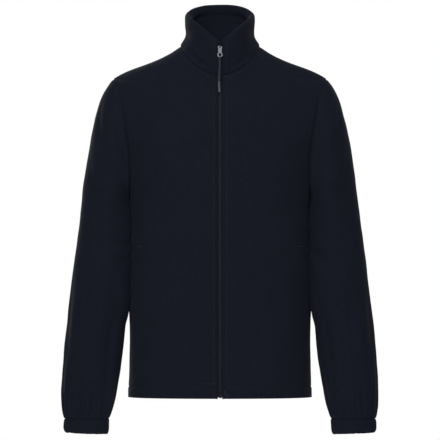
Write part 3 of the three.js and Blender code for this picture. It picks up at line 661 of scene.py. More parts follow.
for side, sign in SIDES:
    work = outer_side("front_" + side, CLOTH)
    for height in HEM_LOOPS:
        cut_level(work, height)
    add_edge_strip(work, STRIP)
    keep_corners(work)
    mesh = made_finer("front_panel_" + side, work, FINE)
    even_shoulder_tips(mesh)
    points = places(mesh)
    heights = height_of(points)
    across = sign * points[:, 0]
    lift = fold_profile(across * 1000, heights * 1000, FRONT_FOLDS[side]) / 1000
    lift *= np.clip((across - 0.014) / 0.02, 0, 1)
    lift += uneven(points, 0.085, 0.0016, 3.0 + sign) + uneven(points, 0.03, 0.0005, 9.0)
    lift *= np.clip(edge_distance(mesh) / 0.012, 0.12, 1)
    sewn = edge_distance(mesh, HEM_EDGE)
    lift += seam_profile(sewn, pressed(heights, across)) + hem_profile(heights)
    furrow = -STITCH_FURROW * hump(across, ZIP_STITCH, 0.0016)
    ridge = RIDGE_HIGH * hump(across, ZIP_RIDGE, 0.0022)
    lift += (furrow + ridge) * np.clip((NECK_CORNER - heights) / 0.004, 0, 1)
    put(mesh, points + facings(mesh) * lift[:, None])
    piece = cloth_piece("front_panel_" + side, mesh, CLOTH, fleece)
    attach(piece, "root")
    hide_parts("front_" + side)
    edge = max(open_runs(mesh), key=len)
    turnings("shoulder_turnings_" + side, mesh, stretch(mesh, edge, at_shoulder))
    turnings("side_turnings_" + side, mesh, stretch(mesh, edge, at_side))
    turnings("neck_turnings_" + side, mesh, stretch(mesh, edge, at_front_neck))

# Back: one wide panel of the same fleece, cut on the fold, from the hem to the shoulders and up
# to the nape. It closes the side seams, and its folds fall from the shoulder blades.
# Rows are as for a front, with across running over the centre back from the left to the right.
BACK_FOLDS = [
    (150, 600, 118, 500, 8, 14, -1.8),
    (-154, 592, -120, 504, -8, 13, -1.7),
    (178, 500, 110, 440, -9, 15, -2.1),
    (-176, 492, -104, 430, 9, 15, -2.0),
    (168, 410, 96, 366, -7, 13, -1.8),
    (-170, 404, -88, 352, 8, 14, -1.9),
    (60, 400, 96, 300, 7, 20, -1.6),
    (-52, 380, -92, 286, -7, 20, -1.5),
    (12, 600, 4, 430, 4, 26, -1.1),
    (34, 270, 46, 30, 9, 22, -1.8),
    (-30, 280, -44, 40, -8, 20, -1.9),
    (96, 250, 112, 24, -8, 18, -2.0),
    (-104, 262, -114, 20, 8, 17, -2.1),
    (148, 270, 152, 30, 6, 13, -1.7),
    (-150, 250, -146, 26, -6, 14, -1.8),
    (40, 690, 86, 656, 5, 11, -1.0),
    (-44, 690, -88, 654, -5, 11, -1.0),
]
BACK_DEEPER = 2.1  # how many times the rows' depth

work = outer_side("back", CLOTH)
for height in HEM_LOOPS:
    cut_level(work, height)
add_edge_strip(work, STRIP)
keep_corners(work)
mesh = made_finer("back_panel", work, FINE)
even_shoulder_tips(mesh)
points = places(mesh)
heights = height_of(points)
lift = BACK_DEEPER * fold_profile(points[:, 0] * 1000, heights * 1000, BACK_FOLDS) / 1000
lift += uneven(points, 0.09, 0.0018, 5.0) + uneven(points, 0.03, 0.0005, 2.0)
lift *= np.clip(edge_distance(mesh) / 0.012, 0.12, 1)
sewn = edge_distance(mesh, HEM_EDGE)
lift += seam_profile(sewn, pressed(heights, points[:, 0])) + hem_profile(heights)
put(mesh, points + facings(mesh) * lift[:, None])
back = cloth_piece("back_panel", mesh, CLOTH, fleece)
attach(back, "root")
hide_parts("back")
edge = max(open_runs(mesh), key=len)
turnings("neck_turnings_back", mesh, stretch(mesh, edge, at_neck))

# Sleeves: one tube each, set into the armhole and gathered into the cuff, with the seam under
# the arm. They hang straight, with long soft folds down the forearm and short ones at the wrist.
# Rows: from degrees round, height, to degrees, height, bow, width and depth. Round the arm,
# 0 is outside, 90 in front and 180 beside the body.
SLEEVE_ROUND = 1.1  # millimetres for each degree
SLEEVE_DEEPER = 1.6  # how many times the rows' depth
SLEEVE_FOLDS = {
    "left": [
        (64, 596, 92, 470, -7, 9, -1.9),
        (96, 560, 128, 430, -6, 8, -1.7),
        (130, 505, 150, 400, 5, 8, -1.8),
        (40, 520, 58, 330, 8, 12, -1.4),
        (150, 350, 108, 300, 6, 9, -2.3),
        (156, 300, 96, 262, -7, 10, -2.2),
        (120, 330, 66, 306, 5, 9, -1.4),
        (60, 270, 72, 40, 7, 11, -2.0),
        (92, 232, 100, 10, -6, 9, -2.2),
        (126, 240, 122, -6, 6, 10, -2.0),
        (24, 250, 34, 30, -6, 12, -1.6),
        (-30, 300, -24, 20, 6, 13, -1.6),
        (-66, 260, -60, 6, -7, 11, -2.1),
        (-98, 250, -104, 0, 6, 11, -2.2),
        (-130, 300, -104, 240, -6, 10, -2.1),
        (-150, 350, -100, 300, 7, 10, -2.0),
        (-60, 590, -96, 450, 7, 10, -1.8),
        (-100, 540, -134, 410, 6, 9, -1.8),
        (170, 260, 166, 0, 5, 10, -1.8),
    ],
    "right": [
        (60, 600, 88, 480, -8, 10, -1.8),
        (100, 566, 126, 444, -6, 8, -1.9),
        (132, 490, 148, 392, 5, 8, -1.7),
        (36, 500, 50, 310, 8, 12, -1.5),
        (152, 340, 104, 292, 6, 9, -2.2),
        (156, 288, 100, 246, -7, 10, -2.3),
        (118, 318, 70, 300, 5, 9, -1.3),
        (54, 250, 66, 24, 7, 11, -2.1),
        (86, 240, 96, 14, -6, 9, -2.0),
        (120, 220, 118, -8, 6, 10, -2.2),
        (20, 262, 28, 36, -6, 12, -1.7),
        (-34, 290, -26, 16, 6, 13, -1.5),
        (-70, 250, -64, 2, -7, 11, -2.0),
        (-102, 262, -108, 4, 6, 11, -2.1),
        (-128, 310, -100, 252, -6, 10, -2.2),
        (-152, 340, -104, 288, 7, 10, -1.9),
        (-64, 600, -92, 462, 7, 10, -1.7),
        (-104, 548, -130, 420, 6, 9, -1.9),
        (168, 250, 164, 4, 5, 10, -1.7),
    ],
}
# Gathers just above the cuff: degrees round, top height, width in degrees and depth
WRIST_GATHERS = [
    (8, 14, 5, -2.2), (27, 34, 5, -2.6), (45, 6, 4, -2.0), (60, 42, 5, -2.8), (77, 12, 4, -2.3),
    (93, 30, 5, -2.7), (108, 2, 4, -1.9), (123, 38, 5, -2.6), (141, 10, 5, -2.2), (159, 28, 5, -2.4),
    (176, 4, 5, -2.0), (194, 32, 5, -2.5), (212, 8, 4, -2.1), (229, 40, 5, -2.7), (247, 12, 5, -2.2),
    (263, 26, 4, -2.5), (280, 2, 4, -1.9), (298, 36, 5, -2.6), (317, 10, 5, -2.2), (338, 28, 5, -2.4),
]
RIGHT_TURN = 7  # the right sleeve's gathers lie this many degrees further round
WRIST = -0.042  # height of the seam between a sleeve and its cuff
PARTING = 0.147  # height where the sleeve and the body part
UNDERARM = 0.425
NEAR_BODY = 0.0006  # the space left between the sleeve and the body
DRAWN_IN = 0.007  # how far a sleeve's inner side is drawn in and pushed out at most
PUSHED_OUT = 0.003
PROBE = 0.02  # the body is looked for from this far outside the cloth
# Depth of a sleeve's seams, as times a front's: at the shoulder, what the armhole's lower part
# adds to that, and at the wrist
SHOULDER_SEAM = 1.2
ARMHOLE_ADDS = 1.7
WRIST_SEAM = 0.4


def arm_angles(points, sign):
    """Degrees round a sleeve, from its own middle at each height."""
    heights = height_of(points)
    levels = np.linspace(heights.min(), heights.max(), 40)
    half = max((levels[1] - levels[0]) * 0.9, 0.004)
    middles = np.array([points[np.abs(heights - level) < half].mean(axis=0) for level in levels])
    out = sign * (points[:, 0] - np.interp(heights, levels, middles[:, 0]))
    forward = np.interp(heights, levels, middles[:, 1]) - points[:, 1]
    return np.degrees(np.arctan2(forward, out))


def against_body(points, angles, side, sign):
    """Draws a sleeve's inner side to the body, from below the armhole to where the two part."""
    aim = Vector((-sign, 0.0, 0.0))
    panels = [surfaces["front_panel_" + side], surfaces["back_panel"]]
    heights = height_of(points)
    level = np.clip((heights - PARTING) / 0.03, 0, 1) * np.clip((UNDERARM - heights) / 0.02, 0, 1)
    turned = np.clip((np.abs(angles) - 95) / 35, 0, 1)
    share = level * turned * turned * (3 - 2 * turned)
    moved = points.copy()
    for i in np.nonzero(share > 0.001)[0]:
        spot = Vector(points[i]) - aim * PROBE
        hits = [panel.ray_cast(spot, aim)[3] for panel in panels]
        hits = [hit for hit in hits if hit is not None]
        if hits:
            reach = min(hits) - PROBE - NEAR_BODY
            moved[i, 0] -= sign * share[i] * min(max(reach, -PUSHED_OUT), DRAWN_IN)
    return moved


for side, sign in SIDES:
    work = outer_side("sleeve_" + side, CLOTH)
    mesh = made_finer("sleeve_" + side + "_cloth", work, FINE)
    points = places(mesh)
    heights = height_of(points)
    angles = arm_angles(points, sign)
    folds = [
        (turn * SLEEVE_ROUND, height, end_turn * SLEEVE_ROUND, *rest)
        for turn, height, end_turn, *rest in SLEEVE_FOLDS[side]
    ]
    lift = SLEEVE_DEEPER * fold_profile(angles * SLEEVE_ROUND, heights * 1000, folds) / 1000
    for turn, top, wide, depth in WRIST_GATHERS:
        own = turn + (RIGHT_TURN if side == "right" else 0)
        away = (angles - own + 180) % 360 - 180
        rise = np.clip((top / 1000 - heights) / (top / 1000 - WRIST), 0, 1)
        lift += depth / 1000 * hump(away, 0, wide) * np.sin(rise * math.pi * 0.62)
    lift += uneven(points, 0.075, 0.0018, 6.0 * sign) + uneven(points, 0.028, 0.0006, 4.0)
    from_edge = edge_distance(mesh)
    lift *= np.clip(from_edge / 0.01, 0.15, 1)
    below_shoulder = np.clip((0.575 - heights) / 0.05, 0, 1)
    above_elbow = np.clip((heights - 0.2) / 0.05, 0, 1)
    times = SHOULDER_SEAM + ARMHOLE_ADDS * below_shoulder * above_elbow
    times = np.where(heights < 0.1, WRIST_SEAM, times)
    lift += times * seam_profile(from_edge, pressed(heights, points[:, 0]))
    beside = np.clip((np.abs(angles) - 140) / 20, 0, 1) * np.clip((heights - 0.07) / 0.03, 0, 1)
    lift = np.where(lift > 0, lift * (1 - beside), lift)
    moved = points + facings(mesh) * lift[:, None]
    put(mesh, against_body(moved, angles, side, sign))
    piece = cloth_piece("sleeve_" + side + "_cloth", mesh, CLOTH, fleece)
    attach(piece, "root")
    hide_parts("sleeve_" + side)
    wrist, armhole = sorted(open_runs(mesh), key=lambda run: mesh.vertices[run[0]].co.z)
    turnings("armhole_turnings_" + side, mesh, armhole, True)
    turnings("wrist_turnings_" + side, mesh, wrist, True)

# Cuffs: a narrow band folded double over elastic, which gathers it into short upright creases.
# It is sewn to the gathered end of the sleeve, and stands a little proud of the seam.
CUFF_CREASES = 29
CREASE_DEEP = 0.0013
CREASE_WIDE = 0.42  # of the space between two
CUFF_SPAN = 0.031  # from its lower edge to the wrist's seam

for side, sign in SIDES:
    work = bmesh.new()
    work.from_mesh(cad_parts["cuff_" + side].data)
    bmesh.ops.remove_doubles(work, verts=work.verts, dist=1e-5)
    in_quads(work)
    mesh = made_finer("cuff_" + side + "_band", work, 2)
    points = places(mesh)
    heights = height_of(points)
    angles = np.radians(arm_angles(points, sign))
    middle = np.clip((heights - WRIST + CUFF_SPAN) / CUFF_SPAN, 0, 1)
    swell = np.sin(middle * math.pi) ** 0.35
    turn = CUFF_CREASES * angles / 2 + 1.4 * np.sin(3 * angles)
    crease = hump(np.sin(turn), 0, CREASE_WIDE) * (0.62 + 0.38 * np.sin(5 * angles + sign))
    lift = -CREASE_DEEP * crease * swell + uneven(points, 0.012, 0.0006, 7.0 * sign)
    put(mesh, points + facings(mesh) * lift[:, None])
    mesh.shade_smooth()
    piece = new_piece("cuff_" + side + "_band", mesh, fleece)
    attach(piece, "root")
    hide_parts("cuff_" + side)

# Collar: one strip of fleece folded over at the rim, so that it is double and stands by itself.
# Its rim is a thick soft roll that ends in a crease inside. Its fronts close over the zip tapes.
# Rows are as for the back, for the collar's outer layer in front and behind.
COLLAR_FOLDS = [
    (-68, 692, -22, 656, -3, 6, -4.2),
    (70, 692, 20, 655, 3, 6, -4.2),
    (-64, 712, -50, 742, 4, 7, -1.0),
    (62, 708, 54, 744, -4, 7, -1.1),
    (-22, 674, -30, 706, 3, 8, -0.7),
    (24, 672, 30, 700, -3, 8, -0.7),
]
COLLAR_BACK_FOLDS = [
    (-48, 716, -34, 764, 4, 9, -1.1),
    (50, 712, 38, 760, -4, 9, -1.1),
    (6, 712, 2, 770, 3, 12, -0.8),
]
INSIDE_FOLLOWS = 0.4  # share of the outer layer's folds that the inner one shows
COLLAR_STRIP = 0.004
RIM_ROLL = 0.008  # how far down the rim's roll goes
RIM_SWELL = 0.0009  # how thick it is all round, and what is added behind and at its corners
RIM_BACK = 0.0010
RIM_ROUND = 0.0014
OUTSIDE_SWELL = 0.0018  # below it the cloth swells outside, and inside, more at the sides
INSIDE_SWELL = 0.0024
SIDE_SWELL = 0.0028
INSIDE_CREASE = 0.0016
CREASE_AT_SIDES = 2.4  # times the crease's own depth, added to it
EDGE_FURROW = 0.0006  # drawn in by the stitches beside the zip
COLLAR_FOOT = 0.643
# How far below the rim each lies, and how wide it is
OUTSIDE_DOWN = (0.010, 0.014)
INSIDE_DOWN = (0.009, 0.008)
CREASE_DOWN = (0.0195, 0.0028)
# Degrees round from the middle of the front, and how many it takes up
SIDE_TURN = (108, 32)
BACK_TURN = (94, 22)
CORNER_TURN = (114, 20)

work = outer_side("collar", CLOTH)
add_edge_strip(work, COLLAR_STRIP)
keep_corners(work, 60)
mesh = made_finer("stand_collar", work, FINE)
points = places(mesh)
normals = facings(mesh)
heights = height_of(points)
from_middle = np.abs(points[:, 0])
is_front = points[:, 1] < 0
outward = (normals[:, 0] * points[:, 0] + normals[:, 1] * (points[:, 1] + 0.01)) > 0
in_front = fold_profile(points[:, 0] * 1000, heights * 1000, COLLAR_FOLDS)
at_back = fold_profile(points[:, 0] * 1000, heights * 1000, COLLAR_BACK_FOLDS)
lift = np.where(is_front, in_front, at_back) / 1000
lift = np.where(outward, lift, -INSIDE_FOLLOWS * lift)
lift += uneven(points, 0.05, 0.0010, 8.0) + uneven(points, 0.018, 0.0004, 1.0)
from_edge = edge_distance(mesh)
lift *= np.clip(from_edge / 0.01, 0.1, 1)
lift += seam_profile(from_edge, pressed(heights, points[:, 0]))
turns = np.degrees(np.arctan2(points[:, 0], -points[:, 1]))
rim_turns = np.arange(-180, 181, 6)
gaps = [np.abs((turns - turn + 180) % 360 - 180) for turn in rim_turns]
rim_levels = [heights[gap < 5].max() for gap in gaps]
below = np.interp(turns, rim_turns, rim_levels) - heights
clear_of_zip = np.where(is_front, np.clip((from_middle - 0.008) / 0.02, 0, 1), 1)
beside = hump(np.abs(turns), *SIDE_TURN)
behind = np.clip((np.abs(turns) - BACK_TURN[0]) / BACK_TURN[1], 0, 1)
corner = hump(np.abs(turns), *CORNER_TURN)
roll = hump(below, 0, RIM_ROLL) * (RIM_SWELL + RIM_BACK * behind + RIM_ROUND * corner)
roll += hump(below, *OUTSIDE_DOWN) * OUTSIDE_SWELL * beside
inside = hump(below, *INSIDE_DOWN) * (INSIDE_SWELL + SIDE_SWELL * beside)
crease = -INSIDE_CREASE * (1 + CREASE_AT_SIDES * beside) * hump(below, *CREASE_DOWN)
lift += clear_of_zip * np.where(outward, roll, np.maximum(roll, inside) + crease)
furrow = -EDGE_FURROW * hump(from_middle, ZIP_STITCH, 0.0016)
lift += np.where(is_front & outward & (heights > COLLAR_FOOT), furrow, 0)
put(mesh, points + normals * lift[:, None])
collar = cloth_piece("stand_collar", mesh, CLOTH, fleece)
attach(collar, "root")
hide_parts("collar")

# Pocket bags: a single layer of the same fleece, flat inside each front. They are sewn in along
# the side seam, where the hand goes in.
BAG_CLOTH = 0.0016

for side in ("left", "right"):
    work = outer_side("pocket_bag_" + side, BAG_CLOTH)
    keep_corners(work)
    mesh = made_finer("pocket_bag_" + side + "_cloth", work, FINE)
    bag = cloth_piece("pocket_bag_" + side + "_cloth", mesh, BAG_CLOTH, fleece)
    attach(bag, "root")
    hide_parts("pocket_bag_" + side)

# Zip tapes: narrow woven tapes behind the fronts' edges and between the collar's layers.
# They carry the teeth along their inner edges.
TAPE_THICK = 0.0006


def tape_finish_painted_dark():
    """Polyester tape in a fine twill, its own colour a little lighter than the fleece, painted darker
    all over as shade for the grooves beside the teeth.
    """
    made, nodes, links, shader = material("woven_tape", 0.9, specular=0.06)
    place = nodes.new("ShaderNodeTexCoord").outputs["Object"]
    weave = nodes.new("ShaderNodeTexWave")
    weave.bands_direction = "DIAGONAL"
    weave.inputs["Scale"].default_value = 420.0
    weave.inputs["Distortion"].default_value = 1.0
    links.new(place, weave.inputs["Vector"])
    # Painted shade: these tones are darker than the tape's own colour, so that the grooves beside the
    # teeth look shaded.
    stops = [(0.2, 0.0034, 0.0042, 0.0070), (0.8, 0.0074, 0.0087, 0.0132)]
    tone = ramp(nodes, links, weave.outputs["Fac"], stops)
    links.new(tone, shader.inputs["Base Color"])
    links.new(bump(nodes, links, weave.outputs["Fac"], 0.0002, 0.5), shader.inputs["Normal"])
    return made


woven = tape_finish_painted_dark()
for side in ("left", "right"):
    work = outer_side("zip_tape_" + side, TAPE_THICK, slack=0.1 * TAPE_THICK)
    keep_corners(work)
    mesh = made_finer("zip_tape_" + side + "_woven", work, 2)
    tape = cloth_piece("zip_tape_" + side + "_woven", mesh, TAPE_THICK, woven)
    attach(tape, "root")
    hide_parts("zip_tape_" + side)

# Zip teeth: two rows of plastic coil, closed into each other from the bottom box to the slider.
# The box and the pin at the bottom and the two top stops are moulded on to the tapes.
TOOTH_PITCH = 0.0017
TOOTH_HALF = (0.00190, 0.00092, 0.00056)  # across, in depth and along the zip
TOOTH_ROW = 0.00158  # from the middle to the middle of a row of teeth
ROW_STEPS = 150
BLOCK_EDGE = 0.0006  # rounding of the moulded ends


def path_tree(name, pivot):
    """Lays small rounded beads along a path, each in line with it."""
    tree = bpy.data.node_groups.new(name, "GeometryNodeTree")
    tree.interface.new_socket("Path", in_out="INPUT", socket_type="NodeSocketGeometry")
    for title in ("Pitch", "Half Width", "Half Depth", "Half Length", "Unevenness"):
        tree.interface.new_socket(title, in_out="INPUT", socket_type="NodeSocketFloat")
    tree.interface.new_socket("Seed", in_out="INPUT", socket_type="NodeSocketInt")
    tree.interface.new_socket("Finish", in_out="INPUT", socket_type="NodeSocketMaterial")
    tree.interface.new_socket("Beads", in_out="OUTPUT", socket_type="NodeSocketGeometry")
    nodes, links = tree.nodes, tree.links
    given = nodes.new("NodeGroupInput").outputs
    curve = nodes.new("GeometryNodeMeshToCurve")
    spots = nodes.new("GeometryNodeCurveToPoints")
    spots.mode = "LENGTH"
    bead = nodes.new("GeometryNodeMeshUVSphere")
    bead.inputs["Segments"].default_value = 8
    bead.inputs["Rings"].default_value = 4
    bead.inputs["Radius"].default_value = 1.0
    size = nodes.new("ShaderNodeCombineXYZ")
    shaped = nodes.new("GeometryNodeTransform")
    turned = nodes.new("FunctionNodeAlignRotationToVector")
    turned.axis = "Z"
    turned.pivot_axis = pivot
    least = worked_out(nodes, links, "SUBTRACT", 1.0, given["Unevenness"])
    most = worked_out(nodes, links, "ADD", 1.0, given["Unevenness"])
    chance = nodes.new("FunctionNodeRandomValue")
    chance.data_type = "FLOAT"
    placed = nodes.new("GeometryNodeInstanceOnPoints")
    real = nodes.new("GeometryNodeRealizeInstances")
    smooth = nodes.new("GeometryNodeSetShadeSmooth")
    finish = nodes.new("GeometryNodeSetMaterial")
    result = nodes.new("NodeGroupOutput")
    links.new(given["Path"], curve.inputs["Mesh"])
    links.new(curve.outputs["Curve"], spots.inputs["Curve"])
    links.new(given["Pitch"], spots.inputs["Length"])
    links.new(given["Half Width"], size.inputs["X"])
    links.new(given["Half Depth"], size.inputs["Y"])
    links.new(given["Half Length"], size.inputs["Z"])
    links.new(bead.outputs["Mesh"], shaped.inputs["Geometry"])
    links.new(size.outputs["Vector"], shaped.inputs["Scale"])
    links.new(spots.outputs["Tangent"], turned.inputs["Vector"])
    links.new(least, chance.inputs[2])
    links.new(most, chance.inputs[3])
    links.new(given["Seed"], chance.inputs["Seed"])
    links.new(spots.outputs["Points"], placed.inputs["Points"])
    links.new(shaped.outputs["Geometry"], placed.inputs["Instance"])
    links.new(turned.outputs["Rotation"], placed.inputs["Rotation"])
    links.new(chance.outputs[1], placed.inputs["Scale"])
    links.new(placed.outputs["Instances"], real.inputs["Geometry"])
    links.new(real.outputs["Geometry"], smooth.inputs["Geometry"])
    links.new(smooth.outputs["Geometry"], finish.inputs["Geometry"])
    links.new(given["Finish"], finish.inputs["Material"])
    links.new(finish.outputs["Geometry"], result.inputs["Beads"])
    return tree


def beads(name, tree, paths, pitch, half, finish, unevenness=0.0, seed=1):
    """A plain mesh of beads along one or more paths. Half is across, in depth and along."""
    points = [point for path in paths for point in path]
    links = []
    first = 0
    for path in paths:
        links += [(first + i, first + i + 1) for i in range(len(path) - 1)]
        first += len(path)
    mesh = bpy.data.meshes.new(name)
    mesh.from_pydata(points, links, [])
    path_piece = new_piece(name + "_path", mesh, None)
    laid = path_piece.modifiers.new("beads", "NODES")
    laid.node_group = tree
    values = {
        "Pitch": pitch,
        "Half Width": half[0],
        "Half Depth": half[1],
        "Half Length": half[2],
        "Unevenness": unevenness,
        "Seed": seed,
        "Finish": finish,
    }
    for item in tree.interface.items_tree:
        if item.in_out == "INPUT" and item.name in values:
            laid[item.identifier] = values[item.name]
    return new_piece(name, finished(path_piece), finish)


def plastic_finish(name, dark, light, roughness, specular):
    """Moulded plastic or enamel with a very fine grain, from a dark tone to a light one."""
    made, nodes, links, shader = material(name, roughness, specular=specular)
    place = nodes.new("ShaderNodeTexCoord").outputs["Object"]
    grain = noise_texture(nodes, links, place, 1400.0, 2.0)
    links.new(ramp(nodes, links, grain, [(0.35, *dark), (0.65, *light)]), shader.inputs["Base Color"])
    links.new(bump(nodes, links, grain, 0.00008, 0.4), shader.inputs["Normal"])
    return made


zip_plastic = plastic_finish("zip_plastic", (0.019, 0.022, 0.028), (0.033, 0.037, 0.044), 0.75, 0.1)
chain_low, chain_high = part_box("zip_chain")
chain_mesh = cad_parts["zip_chain"].data
chain_face = BVHTree.FromPolygons(
    [v.co.copy() for v in chain_mesh.vertices], [tuple(p.vertices) for p in chain_mesh.polygons]
)


def zip_spot(height, across=0.0):
    """A point on the front of the closed teeth at a level of the frame."""
    level = min(max(height, chain_low.z + 0.0005), chain_high.z - 0.0005)
    spot = chain_face.ray_cast(Vector((0.0, -1.0, level)), Vector((0.0, 1.0, 0.0)))[0]
    return Vector((across, spot.y, height))


def zip_row(across, start):
    """The middle line of a row of teeth, from a level up to the zip's top."""
    top = chain_high.z - 0.0012
    levels = [start + (top - start) * i / ROW_STEPS for i in range(ROW_STEPS + 1)]
    return [zip_spot(level, across) + Vector((0.0, TOOTH_HALF[1], 0.0)) for level in levels]


bead_line = path_tree("beads_in_the_zip", "X")
first_tooth = chain_low.z + 0.001
teeth = beads(
    "zip_teeth",
    bead_line,
    [zip_row(-TOOTH_ROW, first_tooth), zip_row(TOOTH_ROW, first_tooth + TOOTH_PITCH / 2)],
    TOOTH_PITCH,
    TOOTH_HALF,
    zip_plastic,
)
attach(teeth, "root")
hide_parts("zip_chain")


def moulded_block(name, middle, size, finish):
    """A small moulded block with rounded edges."""
    work = bmesh.new()
    bmesh.ops.create_cube(work, size=1.0)
    for vert in work.verts:
        vert.co = Vector(a * b for a, b in zip(vert.co, size)) + middle
    mesh = bpy.data.meshes.new(name)
    work.to_mesh(mesh)
    work.free()
    rough = new_piece(name + "_rough", mesh, None)
    rounded = rough.modifiers.new("edges", "BEVEL")
    rounded.width = BLOCK_EDGE
    rounded.segments = 3
    mesh = finished(rough)
    smooth_to_edges(mesh)
    return new_piece(name, mesh, finish)


# Each row: name, across, height above the hem, and size across, in depth and in height
ZIP_ENDS = [
    ("zip_bottom_box", 0.0010, 0.0056, (0.0050, 0.0026, 0.0084)),
    ("zip_bottom_pin", -0.0026, 0.0080, (0.0018, 0.0022, 0.0116)),
    ("zip_top_stop_left", 0.0019, 0.7084, (0.0026, 0.0020, 0.0024)),
    ("zip_top_stop_right", -0.0019, 0.7084, (0.0026, 0.0020, 0.0024)),
]
moulded_navy = plastic_finish("moulded_navy", (0.006, 0.007, 0.012), (0.010, 0.012, 0.018), 0.6, 0.1)
for name, across, height, size in ZIP_ENDS:
    middle = zip_spot(height - HELD_HEIGHT, across) + Vector((0.0, size[1] / 2, 0.0))
    end = moulded_block(name, middle, size, moulded_navy)
    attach(end, "root")

# Sewing: rows of short stitches in navy polyester thread, a shade lighter than the fleece. They
# hold the turned hem, the fronts' edges along the zip, the neck seam and the pockets' ends.
STITCH = (0.00030, 0.00030, 0.00125)  # half sizes, as a tooth's
STITCH_PITCH = 0.0031
STITCH_UNEVEN = 0.12
STITCH_SUNK = 0.00005
HEM_FROM = 0.038  # the hem's stitches run from here across to the side seam
HEM_TO = 0.1825


def thread_finish():
    """Twisted polyester thread, with a slight shine."""
    made, nodes, links, shader = material("navy_thread", 0.7, specular=0.35)
    place = nodes.new("ShaderNodeTexCoord").outputs["Object"]
    twist = noise_texture(nodes, links, place, 2200.0, 1.0)
    tone = ramp(nodes, links, twist, [(0.3, 0.009, 0.0105, 0.018), (0.7, 0.021, 0.024, 0.036)])
    links.new(tone, shader.inputs["Base Color"])
    links.new(bump(nodes, links, twist, 0.00015, 0.5), shader.inputs["Normal"])
    return made


thread = thread_finish()
stitch_line = path_tree("stitches_on_a_seam", "AUTO")


def on_cloth(name, across, height, from_back):
    """The spot on a piece's outer side that is seen at a place across and above the hem."""
    away = 1.0 if from_back else -1.0
    origin = Vector((across, away, height - HELD_HEIGHT))
    spot, normal, _, _ = surfaces[name].ray_cast(origin, Vector((0.0, -away, 0.0)))
    if spot is None:
        return None
    outward = normal if normal.y * away > 0 else -normal
    return spot + outward * (STITCH[0] - STITCH_SUNK)


def drawn(name, spots, from_back=False):
    """A line on a piece's outer side, where the piece is found at its spots."""
    found = [on_cloth(name, across, height, from_back) for across, height in spots]
    return [spot for spot in found if spot is not None]


def between(start, end, count):
    """Even spots from one to another, across and above the hem."""
    across, rise = end[0] - start[0], end[1] - start[1]
    return [(start[0] + across * i / count, start[1] + rise * i / count) for i in range(count + 1)]


def sewn_line(name, paths, seed):
    """Stitches of one size along one or more lines."""
    return beads(name, stitch_line, paths, STITCH_PITCH, STITCH, thread, STITCH_UNEVEN, seed)


hem_paths = []
for side, sign in SIDES:
    line = between((sign * HEM_FROM, HEM_STITCH), (sign * HEM_TO, HEM_STITCH), 120)
    hem_paths.append(drawn("front_panel_" + side, line))
hem_paths.append(drawn("back_panel", between((-HEM_TO, HEM_STITCH), (HEM_TO, HEM_STITCH), 240), True))
# Beside the zip the hem's stitches rise a little, more on the right front
hem_paths.append(drawn("front_panel_right", between((-0.008, 0.030), (-0.036, 0.030), 20)))
hem_paths.append(drawn("front_panel_left", between((0.008, 0.024), (0.036, HEM_STITCH), 20)))
hem_seam = sewn_line("hem_stitches", hem_paths, 3)

zip_paths = []
for side, sign in SIDES:
    line = between((sign * ZIP_STITCH, 0.004), (sign * ZIP_STITCH, 0.640), 300)
    zip_paths.append(drawn("front_panel_" + side, line))
    upper = between((sign * ZIP_STITCH, 0.646), (sign * ZIP_STITCH, 0.706), 40)
    zip_paths.append(drawn("stand_collar", upper))
zip_seam = sewn_line("zip_edge_stitches", zip_paths, 4)

# The neck seam's stitches run along the fronts just below it, across and above the hem
NECK_STITCH = [
    (0.0150, 0.6372), (0.0230, 0.6402), (0.0310, 0.6438), (0.0375, 0.6474),
    (0.0425, 0.6504), (0.0460, 0.6532),
]
neck_paths = []
for side, sign in SIDES:
    spots = []
    for one, other in zip(NECK_STITCH, NECK_STITCH[1:]):
        spots += between((sign * one[0], one[1]), (sign * other[0], other[1]), 8)[:-1]
    neck_paths.append(drawn("front_panel_" + side, spots))
neck_seam = sewn_line("neck_stitches", neck_paths, 5)

# Bar tacks: a dense ridge of stitches at each pocket's end, and at the zip's top and foot
TACK = (0.0009, 0.00035, 0.00042)
TACK_PITCH = 0.0007
TACK_UNEVEN = 0.1
tack_paths = [
    drawn("front_panel_left", between((0.1560, 0.301), (0.1670, 0.301), 14)),
    drawn("front_panel_right", between((-0.1650, 0.301), (-0.1560, 0.301), 14)),
    drawn("front_panel_left", between((0.0085, 0.6395), (0.0145, 0.6395), 10)),
    drawn("front_panel_left", between((0.0156, 0.0030), (0.0156, 0.0105), 12)),
    drawn("front_panel_left", between((0.0095, 0.0070), (0.0095, 0.0150), 12)),
]
tacks = beads("bar_tacks", stitch_line, tack_paths, TACK_PITCH, TACK, thread, TACK_UNEVEN, 6)

for seam in (hem_seam, zip_seam, neck_seam, tacks):
    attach(seam, "root")

# Slider, tab and moulded end: a cast slider enamelled dark, a cast tab with a gunmetal plating,
# and a grey moulded plastic end that holds both ends of the pull's cord.


def metal_finish():
    """Gunmetal plating, slightly cloudy where it is worn."""
    made, nodes, links, shader = material("gunmetal", 0.4, metallic=1.0)
    place = nodes.new("ShaderNodeTexCoord").outputs["Object"]
    cloud = noise_texture(nodes, links, place, 420.0, 4.0)
    tone = ramp(nodes, links, cloud, [(0.3, 0.036, 0.038, 0.042), (0.7, 0.078, 0.081, 0.087)])
    links.new(tone, shader.inputs["Base Color"])
    links.new(bump(nodes, links, cloud, 0.00006, 0.35), shader.inputs["Normal"])
    return made


